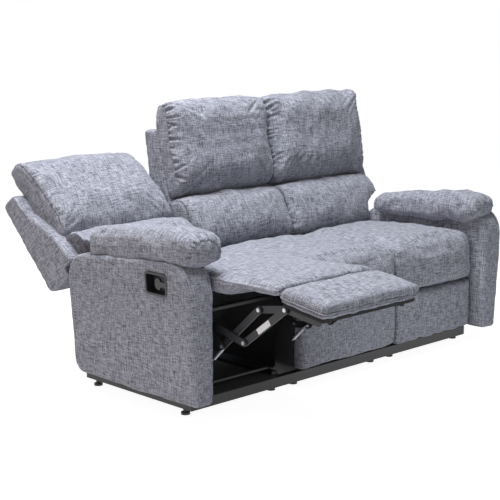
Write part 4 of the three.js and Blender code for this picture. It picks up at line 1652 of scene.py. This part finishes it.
@dataclass
class Arm:
    """An arm: a covered panel with stitched front corners, and a pad that rolls over its front."""

    side: Side
    pad_inner: float = 732
    pad_outer: float = 908
    nose_z: float = 592
    nose_height: float = 62
    nose_share: float = 0.78
    pocket_corner: float = 16

    def lean_out(self, points: np.ndarray) -> np.ndarray:
        """Leans the outer face outwards towards its top.

        Args:
            points: points in millimetres.

        Returns:
            The points after it.
        """
        s = SIZES
        across = np.clip((points[:, 0] - s.arm_inner) / (s.arm_outer - s.arm_inner), 0, None)
        up = (points[:, 2] - s.body_bottom) / (s.arm_top - s.body_bottom)
        out = points.copy()
        out[:, 0] += s.arm_lean * across * up
        return out

    def panel(self, seed: int) -> None:
        """Builds the covered panel.

        Args:
            seed: varies its unevenness.
        """
        s = SIZES
        deep, low = s.arm_depth + 11, s.body_bottom - 6
        corners = [(0, low, 8), (deep, low, 58), (deep, s.arm_top - 32, 120), (0, 594, 136)]
        ring = even(fillet(corners, 12), 10)
        form = BoxedForm(ring, drawn_in(ring, 12), s.arm_inner, s.arm_outer, 18, 0, self.lean_out)
        piece = remesh(form.build(f"{self.side.label}_arm_cover", 4), 6.5, 3)
        seams = [form.row(6, False), form.row(6)]
        front = [seam[(seam[:, 1] < 300) & (seam[:, 2] > 84)] for seam in seams]
        front = [line[np.argsort(-line[:, 1] * (line[:, 2] > 560) + line[:, 2])] for line in front]
        fields = [ripple(210, 1.2, seed), ripple(80, 0.5, seed + 1)]
        fields += [sewn(even(line, 6, False), 2.4, 3.6) for line in front]
        fields.append(lambda p, n: -1.6 * np.exp(-(((p[:, 2] - 96) / 3.5) ** 2)))
        emboss(piece, *fields)
        self.pocket(piece)
        pose = mirrored(self.side)
        place(finish_soft(piece, 0), pose)
        dress(piece, CLOTH, [f"{self.side.label}_arm"], "base")
        lines = []
        for offset in (11, 1):
            for low in (False, True):
                line = form.row(offset, low)
                line = line[(line[:, 1] < 240) & (line[:, 2] > 100)]
                order = np.argsort(line[:, 2] + np.where(line[:, 2] > 555, line[:, 1], 0))
                lines.append(line[order])
        NEEDLE.follow(piece, "base", lines[:3], pose, False)

    def pocket(self, piece: bpy.types.Object) -> None:
        """Cuts the hole that the release cup sits in.

        Args:
            piece: the arm's cover, before it is placed.
        """
        s, r = SIZES, self.pocket_corner
        y, z, w, h = s.handle_y, s.handle_z, s.handle_width / 2, s.handle_height / 2
        ring = fillet([(y - w, z - h, r), (y + w, z - h, r), (y + w, z + h, r), (y - w, z + h, r)])
        tool = skin("cup_room", [np.c_[np.full(len(ring), x), ring] for x in (855, 880, 905, 960)])
        cut = piece.modifiers.new("cut", "BOOLEAN")
        cut.operation, cut.object = "DIFFERENCE", tool
        settle(piece)
        bpy.data.objects.remove(tool)

    def pad(self, seed: int) -> None:
        """Builds the pad over the arm, with its boxing seam and gathered nose.

        Args:
            seed: varies its folds.
        """
        shape = PAD_SHAPES[self.side]
        up, low, tip, tail = shape.rise, shape.drop, shape.tip, shape.tail
        corners = [
            (tail - 6, 536 + low / 4, 24),
            (tail, 622 + up, 44),
            (330, 654 + up, 70),
            (110, 678 + up, 60),
            (tip, 670 + up, 56),
            (tip + 4, 584 + low, 34),
            (tip + 60, 563 + low, 40),
            (300, 550 + low * 0.8, 60),
        ]
        ring = even(fillet(corners, 8), 11)
        inner, outer = drawn_in(ring, np.array((20, 22))), drawn_in(ring, np.array((60, 30)))
        bound = self.pad_outer + up / 3
        form = BoxedForm(ring, inner, self.pad_inner, bound, 32, 3, same, outer, 56)
        piece = remesh(form.build(f"{self.side.label}_arm_pad_cover", 6), 7)
        middle = (self.pad_inner + self.pad_outer) / 2
        wide = (self.pad_outer - self.pad_inner) / 2 * self.nose_share
        centre, high = self.nose_z + low, self.nose_height + 0.7 * up
        angle = np.linspace(-0.15, math.pi + 0.15, 60)
        across, rise = middle + wide * np.cos(angle), centre + high * np.sin(angle)
        surface, ahead = surface_of(piece.data), Vector((0, 1, 0))
        starts = np.c_[across, np.full(len(angle), -60.0), rise] / 1000
        hits = [surface.ray_cast(Vector(start), ahead)[0] for start in starts]
        nose = np.array([h for h in hits if h is not None]) * 1000
        slope = [(y, 636 + up / 2 - 0.105 * y) for y in range(46, 585, 12)]
        rail = np.array([(bound - 2, y, z) for y, z in slope])
        finish_soft(inflate(piece, 10, [nose]))
        start, end = stretch(nose, lambda p: p[:, 2] > 575)
        folds = creases(seed + 3, start + 6, end - 6, 17, 52, 7.0)
        off = lambda p: ((p[:, 0] - middle) / wide) ** 2 + ((p[:, 2] - centre) / high) ** 2
        outside = lambda p: (off(p) > 1.0) & (p[:, 1] < 110)
        beside = creases(seed + 5, 0, 90, 22, 30, 3.0)
        fields = [ripple(150, 2.4, seed), ripple(58, 1.1, seed + 1)]
        fields.append(sewn(nose, 3.6, 4.5, folds, outside))
        fields.append(sewn(rail, 3.6, 4.2, beside, lambda p: p[:, 2] > 600))
        pose = mirrored(self.side)
        place(emboss(piece, *fields), pose)
        node = f"{self.side.label}_arm_pad"
        dress(piece, CLOTH, [node], "base")
        NEEDLE.follow(piece, "base", [rail + np.array((0, 0, 6))], pose, False)

    def lever(self) -> None:
        """Builds the pull lever: a stem that widens into a rounded grip."""
        s = SIZES
        lower = [(-47, -10, 4), (-17, -10, 3), (-13, -22, 6), (7, -22, 9), (15, -8, 8)]
        outline = fillet(lower + [(a, -b, radius) for a, b, radius in lower[::-1]], 4)
        form = BoxedForm(outline, drawn_in(outline, 2), -13, -5, 2, 0)
        piece = form.build(f"{self.side.label}_lever_grip", 3)
        up = (s.handle_z - s.body_bottom) / (s.arm_top - s.body_bottom)
        lean = math.atan(s.arm_lean / (s.arm_top - s.body_bottom))
        spot = Vector((s.arm_outer + s.arm_lean * up, s.handle_y, s.handle_z)) / 1000
        here = Matrix.Translation(spot) @ Matrix.Rotation(lean, 4, "Y")
        place(finish_soft(piece, 0), mirrored(self.side) @ here)
        for polygon in piece.data.polygons:
            polygon.use_smooth = len(polygon.vertices) == 4
        label = self.side.label
        dress(piece, MOULDED, [f"{label}_release_lever"], f"{label}_lever")


# Linkage details


def spot_at(start: tuple[float, float], length: float, degrees: float) -> tuple[float, float]:
    """Gives the place at a distance and angle from another, in the side view."""
    turn = math.radians(degrees)
    return start[0] + length * math.cos(turn), start[1] + length * math.sin(turn)


class Plate(Enum):
    """The two seat plates that carry a recliner's links."""

    OUTER = "outer"
    INNER = "inner"


@dataclass
class Linkage:
    """Bright fittings on a recliner's black links: rivets and springs, and a pale plate that is a
    painted highlight.
    """

    side: Side
    lift_pivot: tuple[float, float] = (240.0, 330.0)
    lift_open: float = 194.1
    fold_turn: float = 94.9
    knee_reach: float = 238
    crank_reach: float = 150
    crank_turn: float = 23.4
    rear_open: float = 138.3
    rear_fold: float = 5.5
    rear_reach: float = 241.2
    tail_reach: float = 75
    tail_turn: float = 216.7
    front_open: float = 142.8
    front_fold: float = 6
    front_reach: float = 245.3
    spring_open: float = 315.4
    spring_closed: float = 309.9
    plate_inset: float = 16

    def pivots(self) -> dict[str, tuple[float, float]]:
        """Finds the pins, in the side view of the seat as it stands at rest.

        Returns:
            Each pin's name and its Y and Z in millimetres.
        """
        fold = 0.0 if self.side is Side.LEFT else 1.0
        lift = self.lift_open + self.fold_turn * fold
        knee = spot_at(self.lift_pivot, self.knee_reach, lift)
        crank = spot_at(self.lift_pivot, self.crank_reach, lift + self.crank_turn)
        rear = self.rear_open - self.rear_fold * fold
        return {
            "lift": self.lift_pivot,
            "knee": knee,
            "crank": crank,
            "toe": spot_at(knee, self.front_reach, self.front_open - self.front_fold * fold),
            "heel": spot_at(crank, self.rear_reach, rear),
            "tail": spot_at(crank, self.tail_reach, rear + self.tail_turn),
        }

    def across(self, plate: Plate, offset: float) -> float:
        """Gives |X| at an offset inwards from a seat plate's outer face."""
        outer, inset = plate is Plate.OUTER, self.plate_inset
        return SIZES.side_outer - inset - offset if outer else SIZES.side_inner + inset + offset

    def rivets(self) -> None:
        """Sets bright rivet heads on both faces of each pinned pair of plates."""
        at, label, pose = self.pivots(), self.side.label, seat_pose(self.side)
        groups = {
            f"{label}_seat": [("lift", (-1.3, 11.8))],
            f"{label}_lift_links": [("knee", (6.2, 21.2)), ("crank", (6.2, 21.2))],
            f"{label}_rear_scissors": [("heel", (12.7, 19.4)), ("tail", (12.7, 19.4))],
            f"{label}_footrest": [("toe", (9.7, 26.2))],
        }
        tree = rivet_tree()
        for body, pins in groups.items():
            points = [
                pose @ (Vector((self.across(plate, offset), *at[name])) / 1000)
                for name, offsets in pins
                for plate in Plate
                for offset in offsets
            ]
            piece = new_object(f"{body}_rivets", np.array(points), [])
            dress(run_tree(piece, tree, ZINC), ZINC, (), body)

    def springs(self) -> None:
        """Hooks a return spring from each crank pin towards the seat's foot."""
        label, pose, tree, parts = self.side.label, seat_pose(self.side), spring_tree(), []
        start = np.array(self.pivots()["crank"])
        aim = math.radians(self.spring_open if self.side is Side.LEFT else self.spring_closed)
        way = np.array((math.cos(aim), math.sin(aim)))
        for plate in Plate:
            x, reach = self.across(plate, 31), self.across(plate, 18)
            along = lambda gap: (x, *(start + way * gap))
            coil = run_tree(new_object("coil", np.zeros((1, 3)), []), tree, ZINC)
            turn = Vector((0, 0, 1)).rotation_difference(Vector((0, *way))).to_matrix().to_4x4()
            place(coil, pose @ Matrix.Translation(Vector(along(14)) / 1000) @ turn)
            hooks = [
                place(tube("hook", [Vector(along(gap)) / 1000 for gap in end], 0.0016), pose)
                for end in ((0, 15), (83, 98))
            ]
            stub = tube("stub", [Vector((a, *start)) / 1000 for a in (reach, x)], 0.003)
            parts += [coil, *hooks, place(stub, pose)]
        joined = join_pieces(f"{label}_return_springs", parts)
        dress(joined, ZINC, (), f"{label}_rear_scissors")

    def plate(self) -> None:
        """Fixes a pale plate to the outer front scissor link, as a painted highlight where light falls
        on the flat link.
        """
        at = self.pivots()
        knee, toe = np.array(at["knee"]), np.array(at["toe"])
        way = (toe - knee) / np.linalg.norm(toe - knee)
        over, centre = np.array((-way[1], way[0])), knee + way * 118
        signs = ((-1, -1), (1, -1), (1, 1), (-1, 1))
        corners = [centre + way * a * 36 + over * b * 10.5 for a, b in signs]
        x = self.across(Plate.OUTER, 14)
        rows = [np.array([(x + lift, *c) for c in corners]) for lift in (0.05, 0.5, 0.9)]
        # The pale plate paints the highlight of light on the flat link
        piece = place(skin(f"{self.side.label}_bare_plate", rows), seat_pose(self.side))
        dress(piece, PAINTED_HIGHLIGHT_PLATE, (), f"{self.side.label}_front_scissors")

    def build(self) -> None:
        """Builds all the fittings."""
        for make in (self.rivets, self.springs, self.plate):
            make()


def join_pieces(name: str, parts: Sequence[bpy.types.Object]) -> bpy.types.Object:
    """Joins meshes that stand in their places into one.

    Args:
        name: the new object's name.
        parts: the objects, which are removed.

    Returns:
        The new object.
    """
    work = bmesh.new()
    for part in parts:
        work.from_mesh(part.data)
        bpy.data.objects.remove(part)
    made = new_object(name, np.empty((0, 3)), [])
    work.to_mesh(made.data)
    work.free()
    made.data.polygons.foreach_set("use_smooth", [True] * len(made.data.polygons))
    return made


# Base, black lining that is also painted shade, and steel


def build_middle_front(seed: int) -> None:
    """Builds the padded front panel, and the box under the middle cushion wrapped in black lining,
    which also paints the shade in the bays beside it.

    Args:
        seed: varies its unevenness.
    """
    s = SIZES
    half, y = s.middle_half - 1, s.panel_front
    z0, z1 = s.panel_bottom + 5, s.seam - 1
    panel = skin("middle_front_cover", panel_rows(-half, half, y + 3, y + 50, z0, z1, 24, 18))
    remesh(panel, 7)
    emboss(panel, crowned(-half, half, z0, z1, 6), ripple(150, 1.4, seed), ripple(60, 0.6, seed + 1))
    place(finish_soft(panel), shift())
    dress(panel, CLOTH, ["middle_seat_box"], "base")
    y = y + 52
    ring = fillet([(y, 78, 6), (s.seat_rear, 78, 6), (s.seat_rear, 430, 6), (y, 430, 6)])
    ring = even(ring, 16)
    box = BoxedForm(ring, drawn_in(ring, 4), -278, 278, 5, 0).build("middle_box_shade_lining")
    remesh(box, 9, 2)
    emboss(box, ripple(90, 0.9, seed + 2))
    place(finish_soft(box, 0), shift())
    # The black lining over the middle box is painted shade for the bays beside it
    dress(box, LINING_AND_PAINTED_SHADE, ["middle_seat_box"], "base")


def lining(
    name: str,
    low: tuple[float, float, float],
    high: tuple[float, float, float],
    seed: int,
) -> None:
    """Stretches a sheet of black lining over the frame, which also paints the shade in the bay under
    the seats.

    Args:
        name: the sheet's name.
        low: its low corner in millimetres, ahead of the shift.
        high: its high corner, with the same Y or Z.
        seed: varies its sag.
    """
    flat, count = 2 if low[2] == high[2] else 1, 24
    other = 3 - flat
    across = np.linspace(low[0], high[0], count)
    along = np.linspace(low[other], high[other], count)
    points = []
    for a in across:
        for b in along:
            edge = min(a - low[0], high[0] - a, b - low[other], high[other] - b)
            spot = [a, 0.0, 0.0]
            spot[other] = b
            wave = math.sin(a / 71 + seed) * math.sin(b / 83 + 2 * seed)
            spot[flat] = low[flat] + 1.5 * min(1.0, edge / 60) * wave
            points.append(spot)
    faces = [
        (i * count + j, i * count + j + 1, (i + 1) * count + j + 1, (i + 1) * count + j)
        for i in range(count - 1)
        for j in range(count - 1)
    ]
    piece = new_object(name, np.array(points) / 1000, faces)
    wall = piece.modifiers.new("wall", "SOLIDIFY")
    wall.thickness, wall.offset = 0.0012, 0.0
    settle(piece)
    place(finish_soft(piece, 0), shift())
    # The black sheet is a lining and also painted shade for the bay under the seats
    dress(piece, LINING_AND_PAINTED_SHADE, (), "base")


def build_linings() -> None:
    """Builds the dust covers under the seats and the linings behind them, black sheets that also paint
    the shade in the bays under the seats.
    """
    s = SIZES
    for side in Side:
        # Dust covers and rear linings: black sheets that paint the shade in the bay under each recliner
        # seat
        low, high = sorted((side.value * 366, side.value * 772))
        name = f"{side.label}_dust_cover"
        lining(name, (low, 112, 63.6), (high, 728, 63.6), 3)
        low, high = sorted((side.value * 332, side.value * s.side_outer))
        name = f"{side.label}_rear_lining"
        lining(name, (low, 731, 60), (high, 731, 276), 5)
        path = [Vector((side.value * x, 176 + ARM_FRONT * 1000, 86)) / 1000 for x in (360, 778)]
        bar = tube(f"{side.label}_cross_tube", path, 0.009)
        dress(bar, BLACK_STEEL, (), "base")
    lining("middle_rear_lining", (-262, 731.5, 60), (262, 731.5, 390), 7)


def finish_steel() -> None:
    """Gives the carried-over hard nodes their finishes."""
    for name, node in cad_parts.items():
        if node.hide_render:
            continue
        if "deck" in name or "board" in name:
            finish, slot = LINING_AND_PAINTED_SHADE, "board"
        elif "bezel" in name or "lever" in name:
            finish, slot = MOULDED, "plastic"
        else:
            finish, slot = BLACK_STEEL, "steel"
        node.data.materials.clear()
        node.data.materials.append(finish)


# Studio


def seen_directly(tree: bpy.types.NodeTree) -> bpy.types.NodeSocket:
    """Tells whether a ray comes from the camera, from glass or from a mirror.

    Args:
        tree: the tree that asks.

    Returns:
        One for such a ray, else zero.
    """
    rays = add_node(tree, "ShaderNodeLightPath").outputs
    given = {0: rays["Is Camera Ray"], 1: rays["Is Transmission Ray"]}
    clear = add_node(tree, "ShaderNodeMath", given, operation="MAXIMUM").outputs[0]
    given = {0: clear, 1: rays["Is Glossy Ray"]}
    return add_node(tree, "ShaderNodeMath", given, operation="MAXIMUM").outputs[0]


def lamp(
    name: str,
    at: tuple[float, float, float],
    aim: tuple[float, float, float],
    size: float,
    power: float,
    colour: str,
) -> None:
    """Hangs a soft square lamp.

    Args:
        name: the lamp's name.
        at: its place.
        aim: where it points.
        size: its side in metres.
        power: its power in watts.
        colour: its colour as sRGB hex.
    """
    light = bpy.data.lights.new(name, "AREA")
    light.shape, light.size, light.energy = "SQUARE", size, power
    light.color = linear(colour)[:3]
    hung = bpy.data.objects.new(name, light)
    hung.location = at
    hung.rotation_euler = (Vector(aim) - Vector(at)).to_track_quat("-Z", "Y").to_euler()
    bpy.context.scene.collection.objects.link(hung)


def build_studio() -> None:
    """Builds the floor, the lamps and the world."""
    size = 40.0
    corners = np.array([(-size, -size, 0), (size, -size, 0), (size, size, 0), (-size, size, 0)])
    floor = new_object("studio_floor", corners, [(0, 1, 2, 3)])
    material, tree, output = new_material("pale_studio_floor")
    lit = add_node(tree, "ShaderNodeBsdfDiffuse", {"Color": linear("#F2F2F2")})
    soft = add_node(tree, "ShaderNodeBsdfDiffuse", {"Color": linear("#B0B0B0")})
    glow = add_node(tree, "ShaderNodeEmission", {"Color": (1, 1, 1, 1), "Strength": 0.94})
    both = add_node(tree, "ShaderNodeAddShader", {0: soft.outputs[0], 1: glow.outputs[0]})
    sides = {0: seen_directly(tree), 1: lit.outputs[0], 2: both.outputs[0]}
    seen = add_node(tree, "ShaderNodeMixShader", sides)
    tree.links.new(seen.outputs[0], output.inputs[0])
    floor.data.materials.append(material)
    world = bpy.data.worlds.new("studio")
    bpy.context.scene.world = world
    world.use_nodes = True
    tree = world.node_tree
    tree.nodes.clear()
    dim = add_node(tree, "ShaderNodeBackground", {"Color": linear("#F1F2F6"), "Strength": 0.15})
    white = add_node(tree, "ShaderNodeBackground", {"Color": (1, 1, 1, 1), "Strength": 1.0})
    sides = {0: seen_directly(tree), 1: dim.outputs[0], 2: white.outputs[0]}
    mix = add_node(tree, "ShaderNodeMixShader", sides)
    out = add_node(tree, "ShaderNodeOutputWorld")
    tree.links.new(mix.outputs[0], out.inputs[0])
    lamp("overhead", (-0.8, 0.1, 3.6), (-0.4, -0.1, 0.3), 2.2, 180, "#F6F8FF")
    lamp("front_fill", (-1.8, -4.8, 1.6), (0, 0, 0.4), 2.6, 17, "#F4F6FF")
    lamp("left_fill", (-4.8, -0.4, 1.3), (0, 0, 0.4), 2.4, 14, "#FFC48E")


@dataclass(frozen=True)
class Viewpoint:
    """Where the photograph was taken from, and through which lens."""

    place: tuple[float, float, float] = (-3.753, -3.255, 1.450)
    yaw: float = 0.769
    pitch: float = -0.190
    roll: float = -0.002
    focal_px: float = 1298.65
    centre_px: tuple[float, float] = (252.8, 256.5)
    frame_px: float = 500.0
    sensor_mm: float = 36.0

    def build(self) -> None:
        """Sets up the camera."""
        data = bpy.data.cameras.new("photo_view")
        data.sensor_width = self.sensor_mm
        data.lens = self.focal_px / self.frame_px * self.sensor_mm
        data.shift_x = (self.frame_px / 2 - self.centre_px[0]) / self.frame_px
        data.shift_y = (self.centre_px[1] - self.frame_px / 2) / self.frame_px
        data.clip_end = 200.0
        camera = bpy.data.objects.new("photo_view", data)
        cy, sy = math.cos(self.yaw), math.sin(self.yaw)
        cp, sp = math.cos(self.pitch), math.sin(self.pitch)
        ahead = Vector((sy * cp, cy * cp, sp))
        right = Vector((cy, -sy, 0))
        up = right.cross(ahead)
        c, s = math.cos(self.roll), math.sin(self.roll)
        right, up = right * c + up * s, up * c - right * s
        turn = Matrix((right, up, -ahead)).transposed()
        x, y, z = self.place
        camera.matrix_world = Matrix.Translation((x, y + ARM_FRONT, z)) @ turn.to_4x4()
        bpy.context.scene.collection.objects.link(camera)
        bpy.context.scene.camera = camera


# The whole sofa


def build_backs() -> None:
    """Builds the three backs."""
    s = SIZES
    middle = Back(-s.middle_half, s.middle_half, False)
    middle.build("middle", shift(), "base", 11)
    ends = Back(s.side_inner, s.cushion_wing, True, 158, 90)
    ends.build("right", back_pose(Side.RIGHT), "right_back", 31)
    ends.build("left", back_pose(Side.LEFT), "left_back", 53)
    for back in (middle, ends):
        for cover in back.covers.values():
            bpy.data.objects.remove(cover)


def build_seats() -> None:
    """Builds the seat cushions and footrests."""
    s = SIZES
    middle = Seat(-s.middle_half, s.middle_half).waterfall("middle", 71)
    place(middle, shift())
    dress(middle, CLOTH, ["middle_seat_cushion"], "base")
    ends = Seat(s.side_inner, s.side_outer)
    right = place(ends.waterfall("right", 75), seat_pose(Side.RIGHT))
    dress(right, CLOTH, ["right_seat_cushion", "right_front_flap"])
    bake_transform(right)
    left = place(ends.long_pad("left", 79), seat_pose(Side.LEFT))
    dress(left, CLOTH, ["left_seat_cushion", "left_front_flap"])
    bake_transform(left)
    for side in Side:
        Footrest().build(side, 85 + side.value)


def main() -> None:
    """Builds the sofa and its studio."""
    bpy.context.scene.view_settings.view_transform = "Standard"
    build_studio()
    Viewpoint().build()
    build_backs()
    build_seats()
    for side in Side:
        arm = Arm(side)
        arm.panel(91 + side.value)
        arm.pad(101 + 6 * side.value)
        arm.lever()
        Linkage(side).build()
    build_middle_front(121)
    build_linings()
    NEEDLE.sew()
    finish_steel()


if __name__ == "__main__":
    main()
